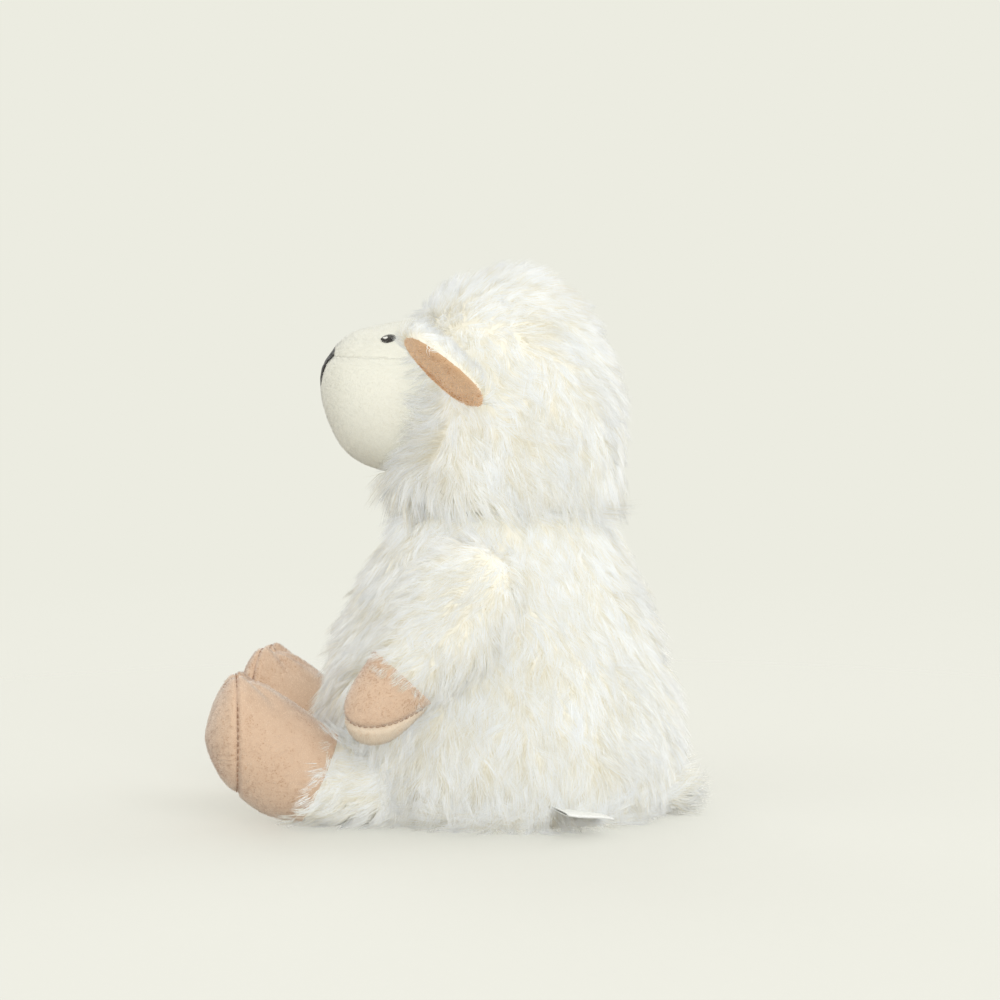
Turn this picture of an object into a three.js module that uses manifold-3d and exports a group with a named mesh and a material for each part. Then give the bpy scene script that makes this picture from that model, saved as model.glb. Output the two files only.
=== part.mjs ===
// A seated plush sheep: long-pile covers over filled forms, sewn limbs, ears and muzzle.
// Millimetres, +Z up. The sheep faces -Y and its left side is +X. The origin is the centre of the flat seat.

import * as THREE from 'three';
import { mergeVertices } from 'three/addons/utils/BufferGeometryUtils.js';
import Module from 'manifold-3d';

const wasm = await Module();
wasm.setup();

// Cloth and clearances
const COVER = 2.5;
const GAP = 0.3;
const FLAT_CUT = 0.5;
const OVERRUN = 400;

// Torso: heights from the seat, reaches from the seat's centre
const NECK_HEIGHT = 138;
const NECK_FRONT = 7;
const TORSO_FRONT = 90;
const TORSO_BACK = 75;
const TORSO_HALF_WIDTH = 76;
const SEAT_SEAM_HEIGHT = 6;
const SIDE_SEAM_BACK = 6;

// Pellet pouch in the seat, under the filling
const POUCH_HEIGHT = 26;
const POUCH_HALF_WIDTH = 48;
const POUCH_HALF_DEPTH = 30;
const POUCH_CENTRE_BACK = 22;
const POUCH_CLOTH = 0.9;

// Tail tuft and side label
const TAIL_SINK = 4;
const TAIL_HEIGHT = 11.5;
const TAIL_HALF_WIDTH = 15;
const TAIL_REACH = 12;
const TAIL_HALF_HEIGHT = 10;
const LABEL_WIDTH = 22;
const LABEL_LENGTH = 15;
const LABEL_THICKNESS = 0.6;
const LABEL_HEIGHT = 8;
const LABEL_TURN = 32;

// Head: heights from the neck, reaches from the seat's centre line
const HEAD_HEIGHT = 108;
const HEAD_FRONT = 60;
const HEAD_BACK = 48;
const HEAD_HALF_WIDTH = 58;

// Muzzle: a smooth dome of two panels, with stitched nose and eyes
const MUZZLE_REACH = 89;
const MUZZLE_ABOVE_NECK = 50;
const MUZZLE_DROP = 35;
const MUZZLE_RISE = 34;
const MUZZLE_HALF_WIDTH = 38.5;
const MUZZLE_SEAM_RISE = 20;
const STITCH = 1;
const NOSE_RISE = 21.5;
const NOSE_HEIGHT = 18;
const NOSE_HALF_WIDTH = 12;
const NOSE_DEPTH = 30;
const EYE_RADIUS = 3.4;
const EYE_SIDE = 21;
const EYE_SETBACK = 33;
const EYE_RISE = 26;
const EYE_DEPTH = 14;
const GLINT_RADIUS = 1.4;
const GLINT_OFFSET = 1.3;

// Ear: a two-layer leaf on a rounded root
const EAR_LENGTH = 50;
const EAR_HALF_WIDTH = 19.5;
const EAR_HALF_THICKNESS = 3.8;
const EAR_LINING_SHIFT = 0.8;
const EAR_ROOT_LENGTH = 26;
const EAR_ROOT_RADIUS = 3.6;
const EAR_SEAT = 3;
const EAR_FRONT = 21.5;
const EAR_ABOVE_NECK = 59;

// Arm: hangs on a plane that touches the side of the torso
const ARM_LENGTH = 99;
const ARM_HALF_WIDTH = 25;
const ARM_HALF_THICKNESS = 18;
const ARM_STAND_OFF = 11;
const ARM_TILT = 19.6;
const ARM_TURN = 6;
const ARM_FORWARD = 34;
const SHOULDER_FRONT = 7;
const SHOULDER_DROP = 22;
const ARM_HINGE_RISE = 7;
const HAND_LENGTH = 35;
const CUFF_TILT = -6;
const PALM_SEAM_OFF = 6;
const PALM_SEAM_TILT = 35;

// Leg: lies on the floor and turns about an upright line through the hip
const HIP_SIDE = 38;
const HIP_FRONT = 48;
const LEG_TURN_OUT = 9.6;
const LEG_REACH = 88;
const LEG_RADIUS = 21;
const LEG_HEIGHT = 38;
const FOOT_HEIGHT = 72;
const FOOT_HALF_WIDTH = 27.5;
const ANKLE_ALONG = 43;
const ANKLE_TILT = 24;
const SOLE_ALONG = 74;
const TOE_STITCH_WIDTH = 1.2;
const TOE_STITCH_LENGTH = 9;
const TOE_STITCH_START = 71;
const SPLAY_IN = -5;
const SPLAY_OUT = 18;
const HIP_CLEARANCE = 0.7;
const HIP_EASE = 2;

// Outlines as shares. Each row: place along the form, low reach, high reach, half-width.
const TORSO_SHARES = [
  [-0.12, 0, 0, 0],
  [-0.1, 0.3, 0.3, 0.3],
  [-0.05, 0.62, 0.68, 0.62],
  [0, 0.78, 0.83, 0.78],
  [0.06, 0.9, 0.93, 0.9],
  [0.15, 0.97, 0.98, 0.975],
  [0.28, 1, 1, 1],
  [0.42, 0.98, 0.935, 0.98],
  [0.56, 0.92, 0.86, 0.925],
  [0.7, 0.83, 0.77, 0.855],
  [0.82, 0.745, 0.7, 0.79],
  [0.92, 0.67, 0.615, 0.72],
  [1, 0.6, 0.53, 0.63],
  [1.08, 0.45, 0.4, 0.45],
  [1.14, 0.2, 0.2, 0.2],
  [1.16, 0, 0, 0],
];
const HEAD_SHARES = [
  [-0.16, 0, 0, 0],
  [-0.13, 0.35, 0.35, 0.35],
  [-0.06, 0.68, 0.66, 0.62],
  [0, 0.86, 0.84, 0.79],
  [0.07, 0.96, 0.915, 0.88],
  [0.16, 1, 0.965, 0.945],
  [0.28, 0.99, 1, 0.99],
  [0.42, 0.95, 0.99, 1],
  [0.56, 0.925, 0.935, 0.965],
  [0.7, 0.87, 0.8, 0.875],
  [0.82, 0.74, 0.65, 0.735],
  [0.92, 0.5, 0.43, 0.51],
  [0.98, 0.24, 0.2, 0.25],
  [1, 0, 0, 0],
];
const MUZZLE_SHARES = [
  [0.25, 0, 0, 0],
  [0.29, 0.45, 0.45, 0.45],
  [0.36, 0.85, 0.85, 0.85],
  [0.45, 1.02, 1.06, 0.98],
  [0.62, 1, 1, 1],
  [0.72, 0.94, 0.87, 0.96],
  [0.82, 0.83, 0.75, 0.86],
  [0.9, 0.63, 0.64, 0.7],
  [0.96, 0.31, 0.48, 0.47],
  [0.988, 0.08, 0.33, 0.24],
  [1, -0.14, 0.14, 0],
];
const EAR_SHARES = [
  [-0.2, 0, 0, 0],
  [-0.16, 0.4, 0.4, 0.6],
  [0, 0.62, 0.62, 0.92],
  [0.2, 0.88, 0.88, 1],
  [0.42, 1, 1, 1],
  [0.65, 0.9, 0.9, 0.95],
  [0.84, 0.62, 0.62, 0.85],
  [0.96, 0.28, 0.28, 0.5],
  [1, 0, 0, 0],
];
const ARM_SHARES = [
  [-0.1, 0, 0, 0],
  [-0.07, 0.4, 0.45, 0.45],
  [0, 0.67, 0.78, 0.75],
  [0.125, 0.93, 0.96, 0.93],
  [0.29, 1.05, 0.94, 1],
  [0.46, 1, 0.81, 1],
  [0.6, 0.8, 0.74, 0.92],
  [0.73, 0.67, 0.7, 0.86],
  [0.83, 0.62, 0.66, 0.78],
  [0.915, 0.5, 0.54, 0.62],
  [0.975, 0.29, 0.31, 0.34],
  [1, 0, 0, 0],
];
const FOOT_SHARES = [
  [0.17, 0, 0.535, 0.764],
  [0.34, 0, 0.58, 0.775],
  [0.455, 0, 0.685, 0.83],
  [0.57, 0.03, 0.79, 0.91],
  [0.68, 0.065, 0.885, 0.975],
  [0.77, 0.125, 0.955, 1],
  [0.84, 0.205, 0.99, 0.99],
  [0.91, 0.285, 0.89, 0.84],
  [0.96, 0.4, 0.755, 0.6],
  [0.988, 0.49, 0.64, 0.33],
  [1, 0.56, 0.56, 0],
];
const HIP_SHARES = [-1, -0.94, -0.76, -0.43, 0];
const POUCH_SHARES = [
  [-0.55, 0, 0, 0],
  [-0.5, 0.4, 0.4, 0.4],
  [-0.3, 0.8, 0.8, 0.8],
  [0, 1, 1, 1],
  [0.3, 0.8, 0.8, 0.8],
  [0.46, 0.4, 0.4, 0.4],
  [0.5, 0, 0, 0],
];
const BALL_SHARES = [-1, -0.94, -0.7, -0.3, 0.3, 0.7, 0.94, 1];
const NOSE_WIDTH_SHARES = [[-1, 0], [1, 0], [0.8, 0.45], [0.25, 1], [-0.25, 1], [-0.8, 0.45]];

// Facet counts: sides round a form and rings along it
const FACETS = {
  torso: [28, 14],
  torsoInside: [20, 10],
  head: [26, 13],
  headInside: [18, 9],
  muzzle: [18, 11],
  muzzleInside: [14, 8],
  ear: [12, 9],
  arm: [16, 12],
  armInside: [12, 8],
  leg: [18, 15],
  legInside: [12, 10],
  room: [18, 15],
  pouch: [18, 7],
  tail: [14, 8],
  round: 12,
};

const CLOTHS = {
  fur: { color: 0xf5f4ee, roughness: 0.95, metalness: 0 },
  muzzle: { color: 0xebeadc, roughness: 0.85, metalness: 0 },
  plush: { color: 0xd3ab8c, roughness: 0.85, metalness: 0 },
  thread: { color: 0x2c2422, roughness: 0.5, metalness: 0 },
  highlight: { color: 0xf7f7f5, roughness: 0.5, metalness: 0 },
  filling: { color: 0xf2f2ef, roughness: 1, metalness: 0 },
  pouch: { color: 0xe6dfcf, roughness: 0.9, metalness: 0 },
  pellets: { color: 0xd8cfb8, roughness: 0.7, metalness: 0 },
  label: { color: 0xfafafa, roughness: 0.6, metalness: 0 },
};

// Directions in the sheep's own frame
const UP = new THREE.Vector3(0, 0, 1);
const FORWARD = new THREE.Vector3(0, -1, 0);
const LEFT = new THREE.Vector3(1, 0, 0);
const ORIGIN = new THREE.Vector3();
const EAR_CHORD = new THREE.Vector3(0.488, 0.77, -0.41);
const EAR_LINING_FACING = new THREE.Vector3(0.2, -0.556, -0.807);

function degrees(angle) {
  return THREE.MathUtils.degToRad(angle);
}

// Solids in and out of the boolean library

function solid(geometry) {
  const bare = geometry.clone();
  bare.deleteAttribute('normal');
  bare.deleteAttribute('uv');
  const merged = mergeVertices(bare);
  return new wasm.Manifold(new wasm.Mesh({
    numProp: 3,
    vertProperties: new Float32Array(merged.attributes.position.array),
    triVerts: new Uint32Array(merged.index.array),
  }));
}

function geometryOf(body) {
  const mesh = body.getMesh();
  const geometry = new THREE.BufferGeometry();
  geometry.setAttribute('position', new THREE.BufferAttribute(new Float32Array(mesh.vertProperties), 3));
  geometry.setIndex(new THREE.BufferAttribute(new Uint32Array(mesh.triVerts), 1));
  return geometry;
}

// A frame whose Z runs along the form, Y from its low side to its high side and X across it
function frame(along, high, origin = ORIGIN) {
  const z = along.clone().normalize();
  const x = high.clone().cross(z).normalize();
  const y = z.clone().cross(x);
  return new THREE.Matrix4().makeBasis(x, y, z).setPosition(origin);
}

// A closed swelling form through rows of [along, low, high, half-width], with elliptical sections
function swell(rows, [sides, rings]) {
  const curves = [1, 2, 3].map((column) => new THREE.SplineCurve(
    rows.map((row) => new THREE.Vector2(row[0], row[column])),
  ));
  const points = [];
  const ring = (share) => {
    const [low, high, half] = curves.map((curve) => curve.getPoint(share));
    const middle = (low.y + high.y) / 2;
    return { along: low.x, middle, depth: (high.y - low.y) / 2, half: half.y };
  };
  const pole = (share) => {
    const { along, middle } = ring(share);
    points.push(0, middle, along);
  };
  pole(0);
  for (let i = 1; i < rings; i += 1) {
    const { along, middle, depth, half } = ring(i / rings);
    for (let j = 0; j < sides; j += 1) {
      const angle = (2 * Math.PI * j) / sides;
      points.push(half * Math.cos(angle), middle + depth * Math.sin(angle), along);
    }
  }
  pole(1);
  const geometry = new THREE.BufferGeometry();
  geometry.setAttribute('position', new THREE.Float32BufferAttribute(points, 3));
  geometry.setIndex(swellFaces(sides, rings));
  return geometry;
}

function swellFaces(sides, rings) {
  const faces = [];
  const last = 1 + (rings - 1) * sides;
  for (let j = 0; j < sides; j += 1) {
    const next = (j + 1) % sides;
    faces.push(0, 1 + next, 1 + j);
    for (let i = 0; i < rings - 2; i += 1) {
      const near = 1 + i * sides;
      const far = near + sides;
      faces.push(near + j, near + next, far + next, near + j, far + next, far + j);
    }
    faces.push(last - sides + j, last - sides + next, last);
  }
  return faces;
}

// The same form with its surface moved out, or in where the distance is negative
function offset(geometry, distance) {
  const moved = geometry.clone();
  moved.computeVertexNormals();
  const { position, normal } = moved.attributes;
  for (let i = 0; i < position.count; i += 1) {
    const x = position.getX(i) + normal.getX(i) * distance;
    const y = position.getY(i) + normal.getY(i) * distance;
    const z = position.getZ(i) + normal.getZ(i) * distance;
    position.setXYZ(i, x, y, z);
  }
  return moved;
}

// All that lies beyond a plane, on the side that its normal points to
function beyond(point, normal) {
  const box = new THREE.BoxGeometry(2 * OVERRUN, 2 * OVERRUN, 2 * OVERRUN);
  box.translate(0, 0, OVERRUN);
  const turn = new THREE.Quaternion().setFromUnitVectors(UP, normal.clone().normalize());
  box.applyMatrix4(new THREE.Matrix4().makeRotationFromQuaternion(turn));
  box.translate(point.x, point.y, point.z);
  return solid(box);
}

function above(height) {
  return beyond(UP.clone().multiplyScalar(height), UP);
}

function below(height) {
  return beyond(UP.clone().multiplyScalar(height), UP.clone().negate());
}

function between(low, high) {
  return above(low).intersect(below(high));
}

// The part of a solid on each side of a plane, with a seam gap left between them
function split(body, point, normal) {
  const shift = normal.clone().normalize().multiplyScalar(GAP / 2);
  return [
    body.intersect(beyond(point.clone().add(shift), normal)),
    body.intersect(beyond(point.clone().sub(shift), normal.clone().negate())),
  ];
}

// Rows in millimetres from shares of a form's sizes
function scaleRows(shares, length, low, high, half) {
  return shares.map((row) => [row[0] * length, -row[1] * low, row[2] * high, row[3] * half]);
}

// Leg and foot, one swelling form from the hip to the sole

function legRows() {
  const middle = (LEG_HEIGHT - FLAT_CUT) / 2;
  const hip = HIP_SHARES.map((share) => {
    const spread = Math.sqrt(1 - share * share);
    const rise = (LEG_HEIGHT - middle) * spread;
    return [share * LEG_RADIUS, middle - rise, middle + rise, LEG_RADIUS * spread];
  });
  const foot = FOOT_SHARES.map(([along, low, high, half]) => [
    along * LEG_REACH,
    low * FOOT_HEIGHT - FLAT_CUT,
    high * FOOT_HEIGHT,
    half * FOOT_HALF_WIDTH,
  ]);
  return [...hip, ...foot];
}

const HIP = new THREE.Vector3(HIP_SIDE, -HIP_FRONT, 0);

function legDirection(turn) {
  return FORWARD.clone().applyAxisAngle(UP, degrees(turn));
}

function legForm(distance, facets) {
  const form = offset(swell(legRows(), facets), distance);
  return solid(form.applyMatrix4(frame(legDirection(LEG_TURN_OUT), UP, HIP)));
}

function ankleNormal() {
  const side = UP.clone().cross(legDirection(LEG_TURN_OUT));
  return legDirection(LEG_TURN_OUT).applyAxisAngle(side, -degrees(ANKLE_TILT));
}

function legPieces() {
  const direction = legDirection(LEG_TURN_OUT);
  const ankle = HIP.clone().addScaledVector(direction, ANKLE_ALONG);
  ankle.z = LEG_HEIGHT / 2;
  const sole = HIP.clone().addScaledVector(direction, SOLE_ALONG);
  const outside = legForm(0, FACETS.leg).intersect(above(0));
  const inside = legForm(-COVER, FACETS.legInside).intersect(above(COVER));
  const shell = outside.subtract(inside);
  const [foot, sleeve] = split(shell, ankle, ankleNormal());
  const [soleCap, upper] = split(foot, sole, direction);
  const filling = legForm(-COVER - GAP, FACETS.legInside).intersect(above(COVER + GAP));
  return [
    ['leg_sleeve', sleeve, 'fur'],
    ['foot_upper', upper, 'plush'],
    ['foot_sole', soleCap, 'plush'],
    ['toe_stitch', toeStitch(direction), 'thread'],
    ['leg_filling', filling, 'filling'],
  ];
}

// A short thread over the top of the sole seam, which draws the toe in
function toeStitch(direction) {
  const skin = legForm(STITCH + GAP, FACETS.leg).subtract(legForm(GAP, FACETS.leg));
  const bar = new THREE.BoxGeometry(TOE_STITCH_WIDTH, FOOT_HEIGHT, TOE_STITCH_LENGTH);
  bar.translate(0, FOOT_HEIGHT, TOE_STITCH_LENGTH / 2);
  const start = HIP.clone().addScaledVector(direction, TOE_STITCH_START);
  return skin.intersect(solid(bar.applyMatrix4(frame(direction, UP, start))));
}

// The room that the leg needs in the front of the torso through its whole splay
function legRoom(distance) {
  const spread = Math.sin(degrees((SPLAY_OUT - SPLAY_IN) / 2));
  const rows = legRows().map(([along, low, high, half]) => {
    const ahead = Math.max(along, 0);
    const ease = (HIP_EASE * ahead) / LEG_RADIUS;
    return [along, low - ease, high + ease, half + ahead * spread + ease];
  });
  const form = offset(swell(rows, FACETS.room), distance);
  const direction = legDirection(LEG_TURN_OUT + (SPLAY_IN + SPLAY_OUT) / 2);
  const left = solid(form.applyMatrix4(frame(direction, UP, HIP)));
  return left.add(solid(mirrored(geometryOf(left))));
}

// Torso

function torsoRows() {
  return scaleRows(TORSO_SHARES, NECK_HEIGHT, TORSO_FRONT, TORSO_BACK, TORSO_HALF_WIDTH);
}

function torsoForm(distance, facets) {
  return offset(swell(torsoRows(), facets), distance);
}

function torsoPieces() {
  const room = HIP_CLEARANCE;
  const outside = solid(torsoForm(0, FACETS.torso)).intersect(between(0, NECK_HEIGHT)).subtract(legRoom(room));
  const inside = solid(torsoForm(-COVER, FACETS.torsoInside))
    .intersect(above(COVER))
    .subtract(legRoom(room + COVER));
  const shell = outside.subtract(inside);
  const seam = UP.clone().multiplyScalar(SEAT_SEAM_HEIGHT);
  const [upperShell, seat] = split(shell, seam, UP);
  const sides = new THREE.Vector3(0, SIDE_SEAM_BACK, 0);
  const [front, back] = split(upperShell, sides, FORWARD);
  const [backLeft, backRight] = split(back, ORIGIN, LEFT);
  const filling = solid(torsoForm(-COVER - GAP, FACETS.torsoInside))
    .intersect(between(COVER + GAP, NECK_HEIGHT))
    .subtract(legRoom(room + COVER + GAP))
    .subtract(pouchForm(GAP));
  return [
    ['torso_front_panel', front, 'fur'],
    ['torso_back_left_panel', backLeft, 'fur'],
    ['torso_back_right_panel', backRight, 'fur'],
    ['seat_panel', seat, 'fur'],
    ['torso_filling', filling, 'filling'],
    ...pouchPieces(),
    ['tail_cover', tail(), 'fur'],
    ['side_label', label(), 'label'],
  ];
}

function pouchForm(distance) {
  const rows = scaleRows(POUCH_SHARES, POUCH_HEIGHT, POUCH_HALF_DEPTH, POUCH_HALF_DEPTH, POUCH_HALF_WIDTH);
  const form = offset(swell(rows, FACETS.pouch), distance);
  return solid(form.translate(0, POUCH_CENTRE_BACK, COVER + GAP + POUCH_HEIGHT / 2));
}

function pouchPieces() {
  const floor = COVER + GAP;
  const outside = pouchForm(0).intersect(above(floor));
  const inside = pouchForm(-POUCH_CLOTH).intersect(above(floor + POUCH_CLOTH));
  const seam = UP.clone().multiplyScalar(floor + POUCH_HEIGHT / 2);
  const [upper, lower] = split(outside.subtract(inside), seam, UP);
  const pellets = pouchForm(-POUCH_CLOTH - GAP).intersect(above(floor + POUCH_CLOTH + GAP));
  return [
    ['pouch_upper_panel', upper, 'pouch'],
    ['pouch_lower_panel', lower, 'pouch'],
    ['pellet_fill', pellets, 'pellets'],
  ];
}

function tail() {
  const rows = BALL_SHARES.map((share) => {
    const spread = Math.sqrt(1 - share * share);
    return [share * TAIL_HALF_HEIGHT, -TAIL_REACH * spread, TAIL_REACH * spread, TAIL_HALF_WIDTH * spread];
  });
  const tuft = swell(rows, FACETS.tail).translate(0, TORSO_BACK - TAIL_SINK, TAIL_HEIGHT);
  return solid(tuft).subtract(solid(torsoForm(GAP, FACETS.torso)));
}

// A bare folded loop that stands out of the side seam
function label() {
  const strip = new THREE.BoxGeometry(TORSO_HALF_WIDTH + LABEL_LENGTH, LABEL_WIDTH, LABEL_THICKNESS);
  strip.translate((TORSO_HALF_WIDTH + LABEL_LENGTH) / 2, 0, LABEL_HEIGHT);
  strip.rotateZ(degrees(LABEL_TURN));
  const torso = solid(torsoForm(GAP, FACETS.torso));
  const reach = solid(torsoForm(LABEL_LENGTH, FACETS.torso));
  return solid(strip).intersect(reach).subtract(torso);
}

// Head, muzzle and face

const MUZZLE_MIDDLE = NECK_HEIGHT + MUZZLE_ABOVE_NECK;
const EYE_FRONT = MUZZLE_REACH - EYE_SETBACK;

function headForm(distance, facets) {
  const rows = scaleRows(HEAD_SHARES, HEAD_HEIGHT, HEAD_FRONT, HEAD_BACK, HEAD_HALF_WIDTH);
  return solid(offset(swell(rows, facets), distance).translate(0, 0, NECK_HEIGHT + GAP));
}

function muzzleForm(distance, facets) {
  const rows = scaleRows(MUZZLE_SHARES, MUZZLE_REACH, MUZZLE_DROP, MUZZLE_RISE, MUZZLE_HALF_WIDTH);
  const form = offset(swell(rows, facets), distance);
  const centre = UP.clone().multiplyScalar(MUZZLE_MIDDLE);
  return solid(form.applyMatrix4(frame(FORWARD, UP, centre)));
}

function headPieces() {
  const base = above(NECK_HEIGHT + GAP);
  const inside = headForm(-COVER, FACETS.headInside);
  const shell = headForm(0, FACETS.head).intersect(base).subtract(inside)
    .subtract(muzzleForm(GAP, FACETS.muzzle))
    .subtract(earRoots(GAP));
  const [left, right] = split(shell, ORIGIN, LEFT);
  const muzzleShell = muzzleForm(0, FACETS.muzzle)
    .subtract(muzzleForm(-COVER, FACETS.muzzleInside))
    .subtract(inside);
  const seam = UP.clone().multiplyScalar(MUZZLE_MIDDLE + MUZZLE_SEAM_RISE);
  const [upper, lower] = split(muzzleShell, seam, UP);
  const filling = headForm(-COVER - GAP, FACETS.headInside).intersect(base)
    .subtract(earRoots(COVER))
    .add(muzzleForm(-COVER - GAP, FACETS.muzzleInside));
  return [
    ['head_left_cover', left, 'fur'],
    ['head_right_cover', right, 'fur'],
    ['muzzle_upper_panel', upper, 'muzzle'],
    ['muzzle_lower_panel', lower, 'muzzle'],
    ['nose_embroidery', nose(), 'thread'],
    ['head_filling', filling, 'filling'],
    ...facePieces('left', 1),
    ...facePieces('right', -1),
  ];
}

function skinOver(inner, outer) {
  return muzzleForm(outer, FACETS.muzzle).subtract(muzzleForm(inner, FACETS.muzzle));
}

function nose() {
  const outline = new THREE.Shape(NOSE_WIDTH_SHARES.map(([side, drop]) => new THREE.Vector2(
    side * NOSE_HALF_WIDTH,
    -drop * NOSE_HEIGHT,
  )));
  const block = new THREE.ExtrudeGeometry(outline, { depth: NOSE_DEPTH, bevelEnabled: false });
  const start = FORWARD.clone().multiplyScalar(MUZZLE_REACH - NOSE_DEPTH / 2);
  start.z = MUZZLE_MIDDLE + NOSE_RISE;
  return skinOver(GAP, GAP + STITCH).intersect(solid(block.applyMatrix4(frame(FORWARD, UP, start))));
}

function facePieces(name, side) {
  const eye = new THREE.Vector3(side * EYE_SIDE, -EYE_FRONT, MUZZLE_MIDDLE + EYE_RISE);
  const middle = new THREE.Vector3(0, -EYE_FRONT, MUZZLE_MIDDLE);
  const outward = eye.clone().sub(middle).normalize();
  const glint = eye.clone().addScaledVector(FORWARD, GLINT_OFFSET);
  const disc = (radius, point) => {
    const pin = new THREE.CylinderGeometry(radius, radius, EYE_DEPTH, FACETS.round).rotateX(Math.PI / 2);
    return solid(pin.applyMatrix4(frame(outward, FORWARD, point)));
  };
  return [
    [`${name}_eye`, skinOver(GAP, GAP + STITCH).intersect(disc(EYE_RADIUS, eye)), 'thread'],
    [
      `${name}_eye_highlight`,
      skinOver(STITCH + 2 * GAP, 2 * STITCH + GAP).intersect(disc(GLINT_RADIUS, glint)),
      'highlight',
    ],
  ];
}

// Ears

const EAR_ROOT = new THREE.Vector3(HEAD_HALF_WIDTH - EAR_SEAT, -EAR_FRONT, NECK_HEIGHT + EAR_ABOVE_NECK);
const EAR_OUTWARD = EAR_LINING_FACING.clone().cross(EAR_CHORD).normalize();

function earRoot(distance) {
  const radius = EAR_ROOT_RADIUS + distance;
  const length = EAR_ROOT_LENGTH + 2 * distance;
  const root = new THREE.CylinderGeometry(radius, radius, length, FACETS.round);
  return solid(root.applyMatrix4(frame(EAR_OUTWARD, EAR_CHORD, EAR_ROOT)));
}

function earRoots(distance) {
  const left = earRoot(distance);
  return left.add(solid(mirrored(geometryOf(left))));
}

function earPieces() {
  const rows = scaleRows(EAR_SHARES, EAR_LENGTH, EAR_HALF_WIDTH, EAR_HALF_WIDTH, EAR_HALF_THICKNESS);
  const leaf = solid(swell(rows, FACETS.ear).applyMatrix4(frame(EAR_OUTWARD, EAR_CHORD, EAR_ROOT)));
  const ear = leaf.intersect(beyond(EAR_ROOT, EAR_OUTWARD)).add(earRoot(0));
  const seam = EAR_ROOT.clone().addScaledVector(EAR_LINING_FACING, EAR_LINING_SHIFT);
  const [lining, back] = split(ear, seam, EAR_LINING_FACING);
  return [
    ['ear_lining', lining, 'plush'],
    ['ear_back', back, 'fur'],
  ];
}

// Arms

const ARM_OUTWARD = LEFT.clone()
  .applyAxisAngle(FORWARD, degrees(ARM_TILT))
  .applyAxisAngle(UP, -degrees(ARM_TURN));
const ARM_LEVEL = ARM_OUTWARD.clone().cross(UP).normalize();
const ARM_STEEP = ARM_LEVEL.clone().cross(ARM_OUTWARD).normalize();
const ARM_DOWN = ARM_STEEP.clone().negate().applyAxisAngle(ARM_OUTWARD, -degrees(ARM_FORWARD));

// How far the torso reaches along a direction, so that a plane there only touches it
function torsoReach(direction) {
  const { position } = torsoForm(0, FACETS.torso).attributes;
  const point = new THREE.Vector3();
  let reach = 0;
  for (let i = 0; i < position.count; i += 1) {
    reach = Math.max(reach, point.fromBufferAttribute(position, i).dot(direction));
  }
  return reach;
}

function shoulder() {
  const distance = torsoReach(ARM_OUTWARD) + GAP;
  const height = NECK_HEIGHT - SHOULDER_DROP;
  const rest = ARM_OUTWARD.z * height - ARM_OUTWARD.y * SHOULDER_FRONT;
  return new THREE.Vector3((distance - rest) / ARM_OUTWARD.x, -SHOULDER_FRONT, height);
}

const SHOULDER = shoulder();

function armForm(distance, facets) {
  const rows = scaleRows(ARM_SHARES, ARM_LENGTH, ARM_HALF_WIDTH, ARM_HALF_WIDTH, ARM_HALF_THICKNESS);
  const form = offset(swell(rows, facets), distance);
  const across = ARM_DOWN.clone().cross(ARM_OUTWARD);
  const centre = SHOULDER.clone().addScaledVector(ARM_OUTWARD, ARM_STAND_OFF);
  return solid(form.applyMatrix4(frame(ARM_DOWN, across, centre)));
}

function armBeyond(distance) {
  return beyond(SHOULDER.clone().addScaledVector(ARM_OUTWARD, distance), ARM_OUTWARD);
}

function armPieces() {
  const outside = armForm(0, FACETS.arm).intersect(armBeyond(0));
  const inside = armForm(-COVER, FACETS.armInside).intersect(armBeyond(COVER));
  const filling = armForm(-COVER - GAP, FACETS.armInside).intersect(armBeyond(COVER + GAP));
  const cuff = SHOULDER.clone().addScaledVector(ARM_DOWN, ARM_LENGTH - HAND_LENGTH);
  const cuffNormal = ARM_DOWN.clone().applyAxisAngle(ARM_OUTWARD, degrees(CUFF_TILT));
  const [hand, sleeve] = split(outside.subtract(inside), cuff, cuffNormal);
  const palmSeam = SHOULDER.clone().addScaledVector(ARM_OUTWARD, PALM_SEAM_OFF);
  const palmNormal = ARM_OUTWARD.clone().applyAxisAngle(ARM_DOWN, degrees(PALM_SEAM_TILT));
  const [back, palm] = split(hand, palmSeam, palmNormal);
  return [
    ['arm_sleeve', sleeve, 'fur'],
    ['hand_back_panel', back, 'plush'],
    ['hand_palm_panel', palm, 'plush'],
    ['arm_filling', filling, 'filling'],
  ];
}

// Scene graph

function mirrored(geometry) {
  const copy = geometry.clone().scale(-1, 1, 1);
  const index = copy.index.array;
  for (let i = 0; i < index.length; i += 3) {
    [index[i + 1], index[i + 2]] = [index[i + 2], index[i + 1]];
  }
  return copy;
}

// One group of meshes about a pivot, such as a limb about its joint
function assembly(pieces, pivot, side = '') {
  const group = new THREE.Group();
  group.position.copy(pivot);
  pieces.forEach(([name, body, cloth]) => {
    const made = geometryOf(body);
    const geometry = side === 'right' ? mirrored(made) : made;
    geometry.translate(-pivot.x, -pivot.y, -pivot.z);
    geometry.computeVertexNormals();
    const mesh = new THREE.Mesh(geometry, new THREE.MeshStandardMaterial(CLOTHS[cloth]));
    mesh.name = side ? `${side}_${name}` : name;
    group.add(mesh);
  });
  return group;
}

function pair(pieces, pivot) {
  const across = new THREE.Vector3(-pivot.x, pivot.y, pivot.z);
  return [assembly(pieces, pivot, 'left'), assembly(pieces, across, 'right')];
}

const ARM_HINGE = SHOULDER.clone().addScaledVector(ARM_STEEP, ARM_HINGE_RISE);
const NECK = new THREE.Vector3(0, -NECK_FRONT, NECK_HEIGHT);

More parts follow.
